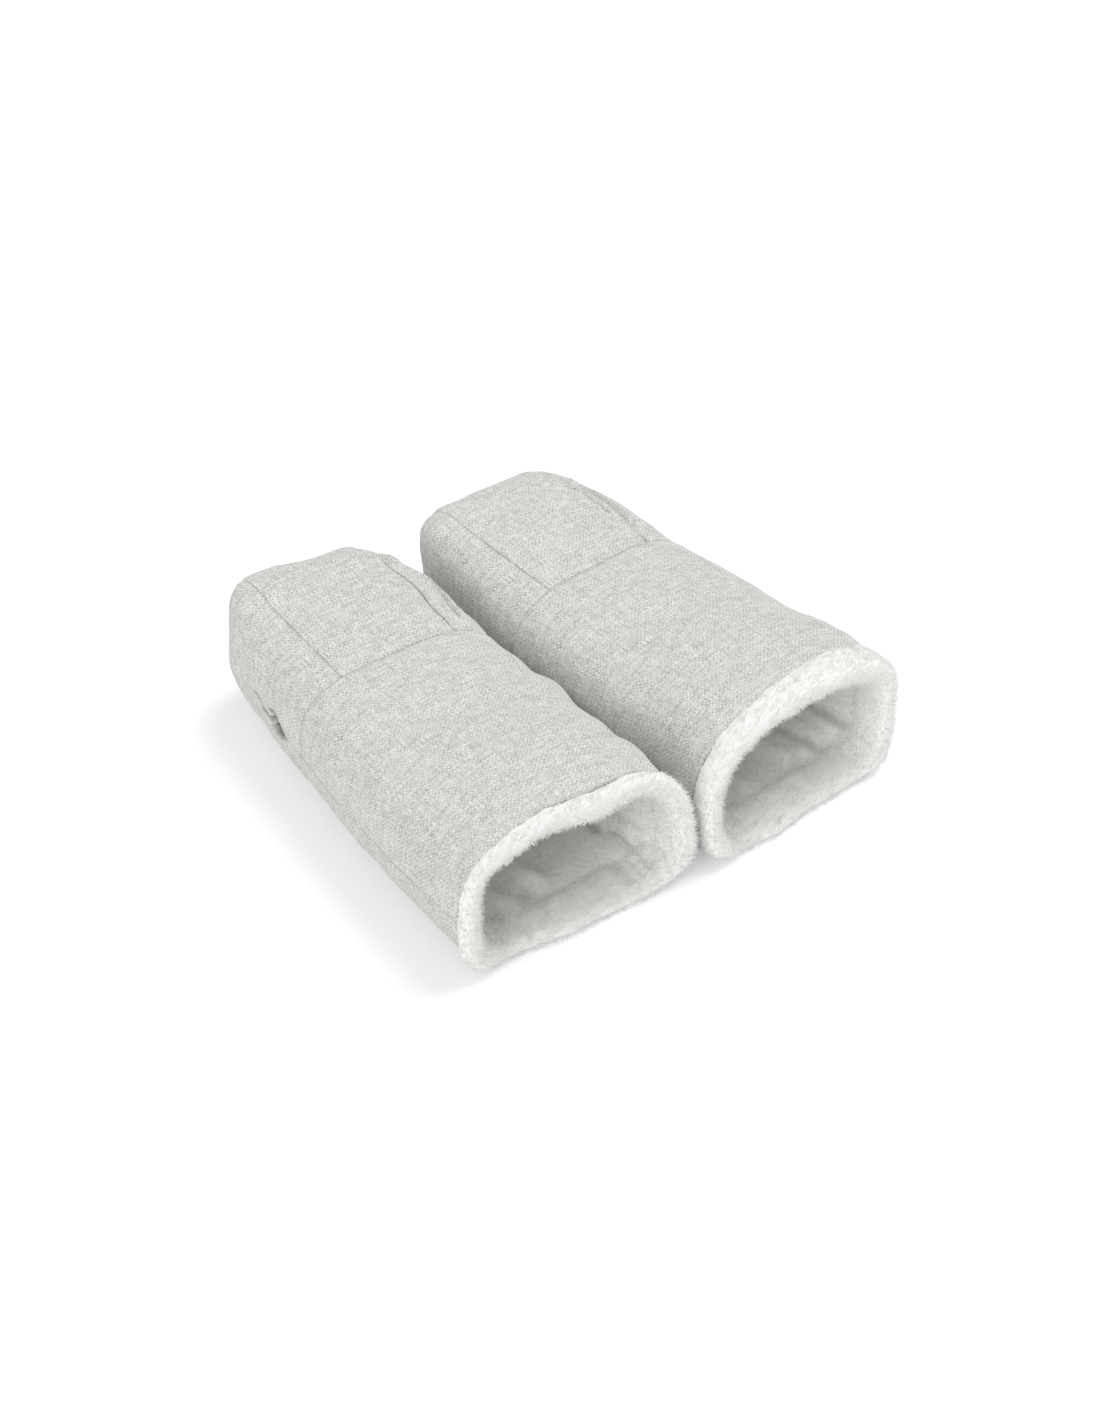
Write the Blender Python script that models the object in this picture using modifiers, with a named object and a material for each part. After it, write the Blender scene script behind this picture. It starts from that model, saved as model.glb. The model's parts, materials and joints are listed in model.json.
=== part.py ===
"""A pair of stroller hand muffs: padded, fleece-lined sleeves whose toes open to wrap a handlebar.

Each muff is built along +Y from its cuff (y = 0) to its toe, lying on z = 0, and the pair is then
set side by side. Every cloth layer of a muff is a shell grown inwards from one master skin, so the
woven cover, the wadding and the fleece stay parallel and seat on each other with a small clearance.
"""
import math

import bmesh
import bpy
import numpy as np
from mathutils import Vector

MM = 0.001

# The muff's outline: lengths along the sleeve, half widths and heights at three stations
CUFF_STRAIGHT = 45.0 * MM
SLEEVE_LENGTH = 190.5 * MM
HOOD_LENGTH = 129.5 * MM
CUFF_HALF_WIDTH = 80.5 * MM
MIDDLE_HALF_WIDTH = 73.5 * MM
TOE_HALF_WIDTH = 55.0 * MM
CUFF_HEIGHT = 98.0 * MM
MIDDLE_HEIGHT = 87.0 * MM
TOE_HEIGHT = 95.0 * MM

# The side seams and the toe's lips lie at this share of the height, where the muff is widest
LIP_SHARE = 0.425

# How boxy a cross-section is: 2 is an ellipse, more is squarer
CUFF_TOP_EXPONENT = 2.45
TOE_TOP_EXPONENT = 4.6
UNDERSIDE_EXPONENT = 3.3

# The rounded toe, seen from above and from the side
TOE_PLAN_RADIUS = 48.0 * MM
TOE_PLAN_EXPONENT = 3.2
TOE_PLAN_SHARE = 0.75
TOE_SIDE_RADIUS = 42.0 * MM
TOE_SIDE_EXPONENT = 2.5

# The rounded underside is pressed flat on the floor by this much
FLOOR_PRESS = 1.2 * MM

# Cloth layers, from the outside in, and the clearances between sewn pieces
SHELL_THICKNESS = 2.0 * MM
PADDING_THICKNESS = 4.0 * MM
FLEECE_THICKNESS = 6.0 * MM
LAYER_CLEARANCE = 0.3 * MM
SEAM_CLEARANCE = 0.5 * MM

# The fur roll round the hand opening
FUR_ROLL_LENGTH = 17.0 * MM
FUR_PROUD = 0.8 * MM
FUR_NOSE_STEPS = 4

# The hood's top panel, whose side seams run from the cross seam over the toe
TOP_PANEL_REAR_HALF_WIDTH = 42.0 * MM
TOP_PANEL_TOE_HALF_WIDTH = 34.0 * MM
PANEL_CLEARANCE = 1.0 * MM
SEAM_DRAW_IN = 1.0 * MM

# The lips part into a slot for the handlebar, and press studs close them in its middle
SLOT_STATION_SHARES = (0.17, 0.29, 0.74, 0.92)
SNAP_SHARE = 0.59
TAB_LENGTH = 15.0 * MM
TAB_THICKNESS = 2.6 * MM
TAB_EDGE_RADIUS = 0.6 * MM
TAB_SEAT_CLEARANCE = 0.7 * MM
LIP_BAND = 3.0 * MM

# The press studs: a socket and a stud, each riveted through its tab to a ring behind it
SNAP_RADIUS = 4.7 * MM
SOCKET_THICKNESS = 2.2 * MM
STUD_BASE_THICKNESS = 1.3 * MM
STUD_HEAD_RADIUS = 2.0 * MM
STUD_NECK_RADIUS = 1.6 * MM
STUD_ENGAGEMENT = 1.0 * MM
RIVET_RADIUS = 1.4 * MM
RING_RADIUS = 4.0 * MM
RING_THICKNESS = 0.8 * MM
SNAP_CLEARANCE = 0.3 * MM
SNAP_EDGE = 0.3 * MM
CUT_OVERRUN = 1.0 * MM

# How the pair lies: the gap between their cuffs, each toe turned in, the right muff a little ahead
PAIR_GAP = 7.8 * MM
TOE_IN_ANGLE = math.radians(2.53)
RIGHT_MUFF_LEAD = 2.4 * MM

# How finely the skin is divided
SLEEVE_STEPS = 5
BOW_STEPS = 6
WALL_STEPS = 5
TOP_STEPS = 3
UNDERSIDE_STEPS = 7
TURN_STEPS = 10
CURVE_SAMPLES = 160
BEND_REACH = 25.0 * MM
MERGE_DISTANCE = 0.01 * MM

# Sizes that follow from those above
MUFF_LENGTH = SLEEVE_LENGTH + HOOD_LENGTH
PAIR_SPACING = 2 * CUFF_HALF_WIDTH + PAIR_GAP
TOE_START = MUFF_LENGTH - TOE_PLAN_RADIUS
LIP_RUN = TOE_START - SLEEVE_LENGTH
HALF_SEAM = SEAM_CLEARANCE / 2
PADDING_DEPTH = SHELL_THICKNESS + LAYER_CLEARANCE
FLEECE_DEPTH = PADDING_DEPTH + PADDING_THICKNESS + LAYER_CLEARANCE
WALL_THICKNESS = FLEECE_DEPTH + FLEECE_THICKNESS
RIVET_HOLE_RADIUS = RIVET_RADIUS + SNAP_CLEARANCE
RING_RECESS_RADIUS = RING_RADIUS + SNAP_CLEARANCE
RING_RECESS_DEPTH = RING_THICKNESS + SNAP_CLEARANCE
SNAP_STACK = 2 * (TAB_THICKNESS + SNAP_CLEARANCE) + SOCKET_THICKNESS + SNAP_CLEARANCE + STUD_BASE_THICKNESS
SLOT_HEIGHT = SNAP_STACK + 2 * TAB_SEAT_CLEARANCE
SLOT_RISE = (SLOT_HEIGHT - SEAM_CLEARANCE) / 2
SNAP_STATION = SLEEVE_LENGTH + SNAP_SHARE * LIP_RUN

WOVEN = ((0.66, 0.66, 0.63), 0.92)
WADDING = ((0.90, 0.90, 0.89), 0.95)
FLEECE = ((0.80, 0.79, 0.75), 0.97)
FUR = ((0.92, 0.92, 0.90), 0.98)
NICKEL = ((0.62, 0.62, 0.60), 0.32)


def clear_scene():
    """Remove whatever the file opened with."""
    for item in list(bpy.data.objects):
        bpy.data.objects.remove(item, do_unlink=True)


def along_muff(start, middle, end, y):
    """A size at y that changes smoothly past the straight cuff, through its middle and toe values."""
    share = max(y - CUFF_STRAIGHT, 0.0) / (MUFF_LENGTH - CUFF_STRAIGHT)
    return (start * (1 - share) * (1 - 2 * share) + 4 * middle * share * (1 - share)
            + end * share * (2 * share - 1))


def toe_factor(y, radius, exponent, closing_share):
    """How much of a full size is left at y, as the toe rounds off over its radius."""
    reach = min(max((y - MUFF_LENGTH + radius) / radius, 0.0), 1.0)
    return 1 - closing_share * (1 - (1 - reach ** exponent) ** (1 / exponent))


def full_height(y):
    """The muff's height at y, before the toe rounds off."""
    return along_muff(CUFF_HEIGHT, MIDDLE_HEIGHT, TOE_HEIGHT, y)


def lip_height(y):
    """The height of the side seams and lips at y."""
    return LIP_SHARE * full_height(min(y, TOE_START))


def half_width(y):
    """The muff's half width at y, on the side seams."""
    full = along_muff(CUFF_HALF_WIDTH, MIDDLE_HALF_WIDTH, TOE_HALF_WIDTH, y)
    return full * toe_factor(y, TOE_PLAN_RADIUS, TOE_PLAN_EXPONENT, TOE_PLAN_SHARE)


def reach_from_lip(y, upper):
    """How far the skin rises above the lips at y, or falls below them."""
    full = full_height(y) - lip_height(y) if upper else lip_height(y) + FLOOR_PRESS
    return full * toe_factor(y, TOE_SIDE_RADIUS, TOE_SIDE_EXPONENT, 1.0)


def boxiness(y, upper):
    """The exponent of the cross-section at y."""
    if not upper:
        return UNDERSIDE_EXPONENT
    share = max(y - CUFF_STRAIGHT, 0.0) / (MUFF_LENGTH - CUFF_STRAIGHT)
    return CUFF_TOP_EXPONENT + (TOE_TOP_EXPONENT - CUFF_TOP_EXPONENT) * share


def slot_rise(y):
    """How far each lip draws back from the closed line at y, to leave the handlebar slot."""
    stations = [SLEEVE_LENGTH + share * LIP_RUN for share in SLOT_STATION_SHARES]
    return float(np.interp(y, stations, (0.0, SLOT_RISE, SLOT_RISE, 0.0)))


def draw_in(y):
    """How far the skin is drawn in by the cross seam at y."""
    near = max(1 - abs(y - SLEEVE_LENGTH) / (SLOT_STATION_SHARES[0] * LIP_RUN), 0.0)
    return SEAM_DRAW_IN * near


def section_curve(y, upper, slotted):
    """Half of the cross-section at y, finely sampled from the lip to the centre line."""
    side = 1 if upper else -1
    lip = lip_height(y) + side * HALF_SEAM
    power = 2 / boxiness(y, upper)
    width = half_width(y) - draw_in(y)
    reach = reach_from_lip(y, upper) - HALF_SEAM - (draw_in(y) if upper else 0.0)
    turn = np.linspace(0, math.pi / 2, CURVE_SAMPLES)
    x = width * np.cos(turn).clip(0) ** power
    rise = reach * np.sin(turn) ** power
    back = slot_rise(y) if slotted else 0.0
    start_x = float(np.interp(back, rise, x))
    keep = rise > back
    x = np.concatenate(([start_x], x[keep]))
    z = lip + side * np.concatenate(([back], rise[keep]))
    x[-1] = 0.0
    return np.stack([x, np.full_like(x, y), z.clip(0)], axis=1)


def bow_curve(tilt, upper):
    """Half of a bow over the toe, from its pivot on the lip to the centre line.

    A bow is the skin's cut by a plane through the pivots, tilted from upright (1) to level (0).
    """
    side = 1 if upper else -1
    lip = lip_height(TOE_START) + side * HALF_SEAM
    ahead, rise = math.cos(tilt * math.pi / 2), math.sin(tilt * math.pi / 2)
    points = []
    for angle in np.linspace(0, math.pi / 2, CURVE_SAMPLES):
        way = np.array([math.cos(angle), math.sin(angle) * ahead, math.sin(angle) * rise])
        low, high = 0.0, 2 * HOOD_LENGTH
        for _ in range(40):
            middle = (low + high) / 2
            inside = inside_toe(way * middle, upper)
            low, high = (middle, high) if inside else (low, middle)
        points.append((way[0] * low, TOE_START + way[1] * low, lip + side * way[2] * low))
    points = np.array(points)
    points[-1, 0] = 0.0
    points[:, 2] = points[:, 2].clip(0)
    return points


def inside_toe(offset, upper):
    """Whether a point, given from the middle of the bows' pivots, is inside the skin."""
    y = TOE_START + offset[1]
    if y >= MUFF_LENGTH:
        return False
    power = boxiness(y, upper)
    across = offset[0] / half_width(y)
    along = offset[2] / max(reach_from_lip(y, upper) - HALF_SEAM, MERGE_DISTANCE)
    return across ** power + along ** power < 1


def spaced(curve, steps, edge=0.0):
    """Points along a curve, closer together where it bends, the first one after any edge band."""
    if edge:
        reached = np.concatenate(([0.0], np.cumsum(np.linalg.norm(np.diff(curve, axis=0), axis=1))))
        split = np.array([np.interp(edge, reached, curve[:, axis]) for axis in range(3)])
        rest = np.vstack([split, curve[reached > edge]])
        return np.vstack([curve[:1], spaced(rest, steps - 1)])
    leg = np.diff(curve, axis=0)
    length = np.linalg.norm(leg, axis=1)
    unit = leg / length.clip(MERGE_DISTANCE * MERGE_DISTANCE)[:, None]
    bend = np.arccos((unit[1:] * unit[:-1]).sum(axis=1).clip(-1, 1))
    measure = length + BEND_REACH * np.concatenate(([0.0], bend))
    reached = np.concatenate(([0.0], np.cumsum(measure)))
    wanted = np.linspace(0, reached[-1], steps + 1)
    return np.stack([np.interp(wanted, reached, curve[:, axis]) for axis in range(3)], axis=1)


def upper_columns(curve, seam_x):
    """The upper half's points: the wall from the lip to the panel seam, then the top to the centre."""
    place = int(np.argmax(curve[:, 0] < seam_x))
    before, after = curve[place - 1], curve[place]
    share = (before[0] - seam_x) / (before[0] - after[0])
    seam = before + share * (after - before)
    wall = spaced(np.vstack([curve[:place], seam]), WALL_STEPS, LIP_BAND)
    top = spaced(np.vstack([seam, curve[place:]]), TOP_STEPS)
    return np.vstack([wall, top[1:]])


def upper_row(y, slotted=True):
    """One row of the master skin above the lips."""
    return upper_columns(section_curve(y, True, slotted), TOP_PANEL_REAR_HALF_WIDTH)


def under_row(y, slotted=True):
    """One row of the master skin below the lips."""
    return spaced(section_curve(y, False, slotted), UNDERSIDE_STEPS, LIP_BAND)


def hood_stations():
    """The y of the rows from the cross seam to the toe's bows."""
    slot = [SLEEVE_LENGTH + share * LIP_RUN for share in SLOT_STATION_SHARES]
    return [SLEEVE_LENGTH + HALF_SEAM] + slot + [TOE_START]


def bow_tilts():
    """The tilts of the bows over the toe, the last two an edge band apart at the lip."""
    band = 2 / math.pi * LIP_BAND / TOE_PLAN_RADIUS
    return [*np.linspace(1, band, BOW_STEPS)[1:], 0.0]


def hood_rows():
    """The hood's half skin: rows along the lips, then bows over the toe."""
    rows = [upper_row(y) for y in hood_stations()]
    for tilt in bow_tilts():
        seam_x = TOP_PANEL_TOE_HALF_WIDTH + tilt * (TOP_PANEL_REAR_HALF_WIDTH - TOP_PANEL_TOE_HALF_WIDTH)
        rows.append(upper_columns(bow_curve(tilt, True), seam_x))
    return rows


def flap_rows():
    """The flap's half skin, given from its hinge line."""
    rows = [under_row(y) for y in hood_stations()]
    for tilt in bow_tilts():
        rows.append(spaced(bow_curve(tilt, False), UNDERSIDE_STEPS, LIP_BAND))
    return [row - np.array([0, SLEEVE_LENGTH, 0]) for row in rows]


def sleeve_stations():
    """The y of the sleeve's rows, from the fur roll to the cross seam."""
    tapered = np.linspace(CUFF_STRAIGHT, SLEEVE_LENGTH - HALF_SEAM, SLEEVE_STEPS)
    return [FUR_ROLL_LENGTH + SEAM_CLEARANCE, *tapered]


def ring_row(y):
    """Half of a closed cross-section at y, from the top's centre line to the underside's."""
    return np.vstack([upper_row(y, slotted=False)[::-1], under_row(y, slotted=False)])


def loft(name, rows, inwards=False, closed=False):
    """A surface of triangles through rows of equally many points.

    Each layer made from it has the same triangles, so the layers stay parallel. Bow rows share their
    pivots, so coinciding points are merged at the end.
    """
    skin = bmesh.new()
    lines = [[skin.verts.new(point) for point in row] for row in rows]
    pairs = list(zip(lines, lines[1:]))
    if closed:
        pairs.append((lines[-1], lines[0]))
    for near, far in pairs:
        for column in range(len(near) - 1):
            ahead = [near[column], far[column], far[column + 1]]
            back = [near[column], far[column + 1], near[column + 1]]
            for corners in (ahead, back):
                skin.faces.new(corners[::-1] if inwards else corners)
    bmesh.ops.remove_doubles(skin, verts=skin.verts, dist=MERGE_DISTANCE)
    mesh = bpy.data.meshes.new(name)
    skin.to_mesh(mesh)
    skin.free()
    return mesh


def fur_mesh():
    """Half of the fur roll: a thick ring with a round nose, swept round the hand opening."""
    radius = (WALL_THICKNESS + 2 * FUR_PROUD) / 2
    profile = [(-FUR_PROUD, FUR_ROLL_LENGTH)]
    for step in range(FUR_NOSE_STEPS + 1):
        turn = math.pi * step / FUR_NOSE_STEPS
        profile.append((WALL_THICKNESS / 2 - radius * math.cos(turn), radius - radius * math.sin(turn)))
    profile.append((WALL_THICKNESS + FUR_PROUD, FUR_ROLL_LENGTH))
    ring = ring_row(FUR_ROLL_LENGTH)
    step = np.gradient(ring, axis=0)
    inward = np.stack([step[:, 2], np.zeros(len(ring)), -step[:, 0]], axis=1)
    inward /= np.linalg.norm(inward, axis=1)[:, None]
    inward[[0, -1], 0] = 0.0
    rows = []
    for depth, y in profile:
        row = ring + inward * depth
        row[:, 1] = y
        row[:, 2] = row[:, 2].clip(0)
        rows.append(row)
    return loft("fur_roll", rows, closed=True)


def finish(name, look, metallic=0.0):
    """A plain material of one colour and roughness."""
    colour, roughness = look
    material = bpy.data.materials.new(name + "_finish")
    material.use_nodes = True
    shader = material.node_tree.nodes["Principled BSDF"]
    shader.inputs["Base Color"].default_value = (*colour, 1.0)
    shader.inputs["Roughness"].default_value = roughness
    shader.inputs["Metallic"].default_value = metallic
    return material


def add_object(name, mesh, collection, parent, look, metallic=0.0):
    """A named object with its own material, under its parent."""
    piece = bpy.data.objects.new(name, mesh)
    collection.objects.link(piece)
    piece.parent = parent
    if not mesh.materials:
        mesh.materials.append(finish(name, look, metallic))
    piece.material_slots[0].link = "OBJECT"
    piece.material_slots[0].material = finish(name, look, metallic)
    return piece


def add_empty(name, collection, parent=None, location=(0, 0, 0), turn=0.0):
    """An empty that carries and places other objects."""
    empty = bpy.data.objects.new(name, None)
    collection.objects.link(empty)
    empty.parent = parent
    empty.location = location
    empty.rotation_euler.z = turn
    return empty


def mirror(piece):
    """Complete a piece's open half across its muff's middle plane."""
    modifier = piece.modifiers.new("mirror", "MIRROR")
    modifier.use_axis = (True, False, False)
    modifier.merge_threshold = MERGE_DISTANCE


def thicken(piece, depth, thickness):
    """Turn the master skin into a cloth layer that starts at a depth under it."""
    modifier = piece.modifiers.new("layer", "SOLIDIFY")
    modifier.thickness = thickness
    modifier.offset = -(2 * depth + thickness) / thickness
    modifier.use_even_offset = True
    modifier.use_quality_normals = True


def turned_mesh(name, outline):
    """A turned outline's mesh, of (radius, height) points from the top down its outer side."""
    mesh = bpy.data.meshes.new(name)
    points = [(radius, 0, height) for radius, height in outline]
    mesh.from_pydata(points, [(i, i + 1) for i in range(len(points) - 1)], [])
    return mesh


def spin_round(piece):
    """Turn an outline full circle about its own Z axis."""
    modifier = piece.modifiers.new("turn", "SCREW")
    modifier.axis = "Z"
    modifier.steps = TURN_STEPS
    modifier.render_steps = TURN_STEPS
    modifier.use_merge_vertices = True
    modifier.merge_threshold = MERGE_DISTANCE


def socket_outline():
    """The socket, mouth down, from its rivet's top to the mouth's centre; z = 0 is its tab side."""
    rivet_top = SNAP_CLEARANCE + TAB_THICKNESS
    floor = STUD_ENGAGEMENT + SNAP_CLEARANCE
    return [(0, rivet_top), (RIVET_RADIUS, rivet_top), (RIVET_RADIUS, 0), (SNAP_RADIUS - SNAP_EDGE, 0),
            (SNAP_RADIUS, -SNAP_EDGE), (SNAP_RADIUS, SNAP_EDGE - SOCKET_THICKNESS),
            (SNAP_RADIUS - SNAP_EDGE, -SOCKET_THICKNESS), (socket_mouth_radius(), -SOCKET_THICKNESS),
            (socket_mouth_radius(), floor - SOCKET_THICKNESS), (0, floor - SOCKET_THICKNESS)]


def socket_mouth_radius():
    """The mouth clears the stud's head, which also moves sideways as the flap swings it out."""
    swing = lip_height(SNAP_STATION) / (SNAP_STATION - SLEEVE_LENGTH)
    return STUD_HEAD_RADIUS + STUD_ENGAGEMENT * swing + SNAP_CLEARANCE


def stud_outline():
    """The stud, head up, from its head to its rivet's end; z = 0 is its face towards the socket."""
    rivet_end = STUD_BASE_THICKNESS + SNAP_CLEARANCE + TAB_THICKNESS
    head = STUD_ENGAGEMENT + SNAP_CLEARANCE
    return [(0, head), (STUD_HEAD_RADIUS - SNAP_EDGE, head), (STUD_HEAD_RADIUS, head - SNAP_EDGE),
            (STUD_HEAD_RADIUS, head - 2 * SNAP_EDGE), (STUD_NECK_RADIUS, head - 3 * SNAP_EDGE),
            (STUD_NECK_RADIUS, 0), (SNAP_RADIUS - SNAP_EDGE, 0), (SNAP_RADIUS, -SNAP_EDGE),
            (SNAP_RADIUS, -STUD_BASE_THICKNESS), (RIVET_RADIUS, -STUD_BASE_THICKNESS),
            (RIVET_RADIUS, -rivet_end), (0, -rivet_end)]


def ring_outline():
    """The ring behind a tab, as a closed outline about its own middle."""
    half = RING_THICKNESS / 2
    inner, outer = RIVET_HOLE_RADIUS, RING_RADIUS
    edge = SNAP_EDGE
    return [(inner, half), (outer - edge, half), (outer, half - edge), (outer, -half), (inner, -half),
            (inner, half)]


def hole_outline():
    """The cutter for a tab's rivet hole and ring recess; z = 0 is the tab's back, recess upwards."""
    return [(0, CUT_OVERRUN), (RING_RECESS_RADIUS, CUT_OVERRUN), (RING_RECESS_RADIUS, -RING_RECESS_DEPTH),
            (RIVET_HOLE_RADIUS, -RING_RECESS_DEPTH), (RIVET_HOLE_RADIUS, -TAB_THICKNESS - CUT_OVERRUN),
            (0, -TAB_THICKNESS - CUT_OVERRUN)]


def tab_mesh():
    """A cloth tab, flat on z = 0 with its back up, filling the wall's thickness."""
    block = bmesh.new()
    bmesh.ops.create_cube(block, size=1.0)
    width = WALL_THICKNESS - 2 * LAYER_CLEARANCE
    bmesh.ops.scale(block, verts=block.verts, vec=(width, TAB_LENGTH, TAB_THICKNESS))
    bmesh.ops.translate(block, verts=block.verts, vec=(0, 0, -TAB_THICKNESS / 2))
    mesh = bpy.data.meshes.new("tab")
    block.to_mesh(mesh)
    block.free()
    return mesh


def snap_frame():
    """Where the press studs sit: the middle of the wall at the slot's closed point, turned with it."""
    step = LIP_RUN * (SLOT_STATION_SHARES[2] - SLOT_STATION_SHARES[1]) / 2
    taper = (half_width(SNAP_STATION + step) - half_width(SNAP_STATION - step)) / (2 * step)
    angle = -math.atan(taper)
    back = float(np.interp(SLOT_RISE, *slot_edge()))
    place = Vector((back - WALL_THICKNESS / 2 * math.cos(angle), SNAP_STATION, lip_height(SNAP_STATION)))
    return place, angle


def slot_edge():
    """Rises above the lip and the skin's half width there, at the press studs' station."""
    curve = section_curve(SNAP_STATION, True, slotted=False)
    return curve[:, 2] - curve[0, 2], curve[:, 0]


class Muff:
    """One muff: its sewn cover, wadding, lining, fur roll, hinged flap and press studs."""

    def __init__(self, name, outer_way, parts, cutters, pair, place, turn_in):
        self.name = name
        self.parts = parts
        self.cutters = cutters
        self.sides = (("outer", outer_way), ("inner", -outer_way))
        self.axis = add_empty(name + "_muff_place", parts, pair, place, turn_in)
        self.hinge = add_empty(name + "_flap_hinge_axis", parts, self.axis, (0, SLEEVE_LENGTH, 0))

    def layer(self, name, mesh, parent, depth, thickness, look, mirrored=True):
        """One cloth layer on the master skin."""
        piece = add_object(self.name + "_" + name, mesh, self.parts, parent, look)
        if mirrored:
            mirror(piece)
        thicken(piece, depth, thickness)

    def layers(self, region, mesh, parent):
        """The wadding and the fleece under a cover."""
        self.layer(region + "_padding", mesh, parent, PADDING_DEPTH, PADDING_THICKNESS, WADDING)
        self.layer(region + "_lining", mesh, parent, FLEECE_DEPTH, FLEECE_THICKNESS, FLEECE)

    def build_sleeve(self, meshes):
        """The sleeve's two woven panels, its wadding, its lining and the fur roll at its mouth."""
        cover = (0, SHELL_THICKNESS, WOVEN)
        self.layer("sleeve_top_panel", meshes["sleeve_top"], self.axis, *cover)
        self.layer("sleeve_bottom_panel", meshes["sleeve_under"], self.axis, *cover)
        self.layers("sleeve", meshes["sleeve_ring"], self.axis)
        mirror(add_object(self.name + "_fur_cuff", meshes["fur"], self.parts, self.axis, FUR))

    def build_hood(self, meshes):
        """The fixed hood over the toe: its top panel, two gussets, wadding and lining."""
        cover = (0, SHELL_THICKNESS, WOVEN)
        self.layer("hood_top_panel", meshes["hood_top"], self.axis, *cover)
        for side, way in self.sides:
            gusset = meshes["gusset", way]
            self.layer(f"hood_{side}_gusset", gusset, self.axis, *cover, mirrored=False)
        self.layers("hood", meshes["hood"], self.axis)

    def build_flap(self, meshes):
        """The flap under the toe, which swings about the cross seam."""
        self.layer("flap_outer_panel", meshes["flap"], self.hinge, 0, SHELL_THICKNESS, WOVEN)
        self.layers("flap", meshes["flap"], self.hinge)

    def build_snaps(self, meshes):
        """The press studs: a socket on a tab of the hood and a stud on a tab of the flap, each side."""
        tab_back = SNAP_STACK / 2
        socket_back = tab_back - TAB_THICKNESS - SNAP_CLEARANCE
        stud_face = tab_back - TAB_THICKNESS - SNAP_CLEARANCE - STUD_BASE_THICKNESS
        ring_middle = tab_back - RING_THICKNESS / 2
        for side, way in self.sides:
            hood, flap = (SnapPlace(self, parent, way) for parent in (self.axis, self.hinge))
            hood.tab(f"hood_{side}_snap_tab", meshes, tab_back, facing_up=False)
            hood.metal(f"{side}_snap_socket", meshes["socket"], socket_back)
            hood.metal(f"{side}_socket_ring", meshes["ring"], ring_middle)
            flap.tab(f"flap_{side}_snap_tab", meshes, -tab_back, facing_up=True)
            flap.metal(f"{side}_snap_stud", meshes["stud"], -stud_face)
            flap.metal(f"{side}_stud_ring", meshes["ring"], -ring_middle)


class SnapPlace:
    """The closed point of the slot on one side of a muff, as its hood or its flap carries it."""

    def __init__(self, muff, parent, way):
        self.muff = muff
        self.parent = parent
        middle, angle = snap_frame()
        self.middle = Vector((way * middle.x, middle.y, middle.z)) - parent_offset(muff, parent)
        self.angle = way * angle

    def seat(self, piece, height, facing_up=False):
        """Place a piece above or below the slot's middle, turned with the wall."""
        piece.location = self.middle + Vector((0, 0, height))
        piece.rotation_euler = (math.pi if facing_up else 0, 0, self.angle)

    def metal(self, name, mesh, height):
        """A turned metal piece."""
        piece = add_object(self.muff.name + "_" + name, mesh, self.muff.parts, self.parent, NICKEL, 1.0)
        self.seat(piece, height)
        spin_round(piece)

    def tab(self, name, meshes, height, facing_up):
        """A cloth tab with its rivet hole and ring recess."""
        name = self.muff.name + "_" + name
        piece = add_object(name, meshes["tab"], self.muff.parts, self.parent, WOVEN)
        cutter = add_object(name + "_hole", meshes["hole"], self.muff.cutters, self.parent, WOVEN)
        cutter.hide_render = True
        cutter.display_type = "WIRE"
        spin_round(cutter)
        self.seat(piece, height, facing_up)
        self.seat(cutter, height, facing_up)
        bevel = piece.modifiers.new("edges", "BEVEL")
        bevel.width = TAB_EDGE_RADIUS
        bevel.segments = 1
        cut = piece.modifiers.new("hole", "BOOLEAN")
        cut.object = cutter
        cut.operation = "DIFFERENCE"


def parent_offset(muff, parent):
    """Where a parent empty lies in its muff."""
    return Vector((0, SLEEVE_LENGTH, 0)) if parent is muff.hinge else Vector((0, 0, 0))


def build_meshes():
    """The meshes that both muffs share."""
    hood = hood_rows()
    sleeve = [ring_row(y) for y in sleeve_stations()]
    wall = slice(0, WALL_STEPS + 1)
    lip = WALL_STEPS + TOP_STEPS + 1
    flipped = np.array([-1, 1, 1])
    top_rows = seam_rows(hood)
    return {
        "sleeve_top": loft("sleeve_top", [row[:lip] for row in sleeve], inwards=True),
        "sleeve_under": loft("sleeve_under", [row[lip:] for row in sleeve], inwards=True),
        "sleeve_ring": loft("sleeve_ring", sleeve, inwards=True),
        "hood": loft("hood", hood),
        "hood_top": loft("hood_top", top_rows),
        ("gusset", 1): loft("gusset_right", [row[wall] for row in hood]),
        ("gusset", -1): loft("gusset_left", [row[wall] * flipped for row in hood], inwards=True),
        "flap": loft("flap", flap_rows(), inwards=True),
        "fur": fur_mesh(),
        "socket": turned_mesh("socket", socket_outline()),
        "stud": turned_mesh("stud", stud_outline()),
        "ring": turned_mesh("ring", ring_outline()),
        "hole": turned_mesh("hole", hole_outline()),
        "tab": tab_mesh(),
    }


def seam_rows(hood):
    """The top panel's rows, its edge set back from the gusset by the seam's clearance."""
    rows = []
    for row in hood:
        top = row[WALL_STEPS:].copy()
        way = top[1] - top[0]
        top[0] += way / np.linalg.norm(way) * PANEL_CLEARANCE
        rows.append(top)
    return rows


def centre_on_floor(pair, parts):
    """Move the pair so that the middle of its box stands on the origin."""
    bpy.context.view_layer.update()
    graph = bpy.context.evaluated_depsgraph_get()
    corners = []
    for piece in parts.objects:
        if piece.type == "MESH":
            shaped = piece.evaluated_get(graph)
            corners += [shaped.matrix_world @ vertex.co for vertex in shaped.data.vertices]
    low = Vector([min(corner[axis] for corner in corners) for axis in range(3)])
    high = Vector([max(corner[axis] for corner in corners) for axis in range(3)])
    middle = (low + high) / 2
    pair.location -= Vector((middle.x, middle.y, low.z))
    bpy.context.view_layer.update()


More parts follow.
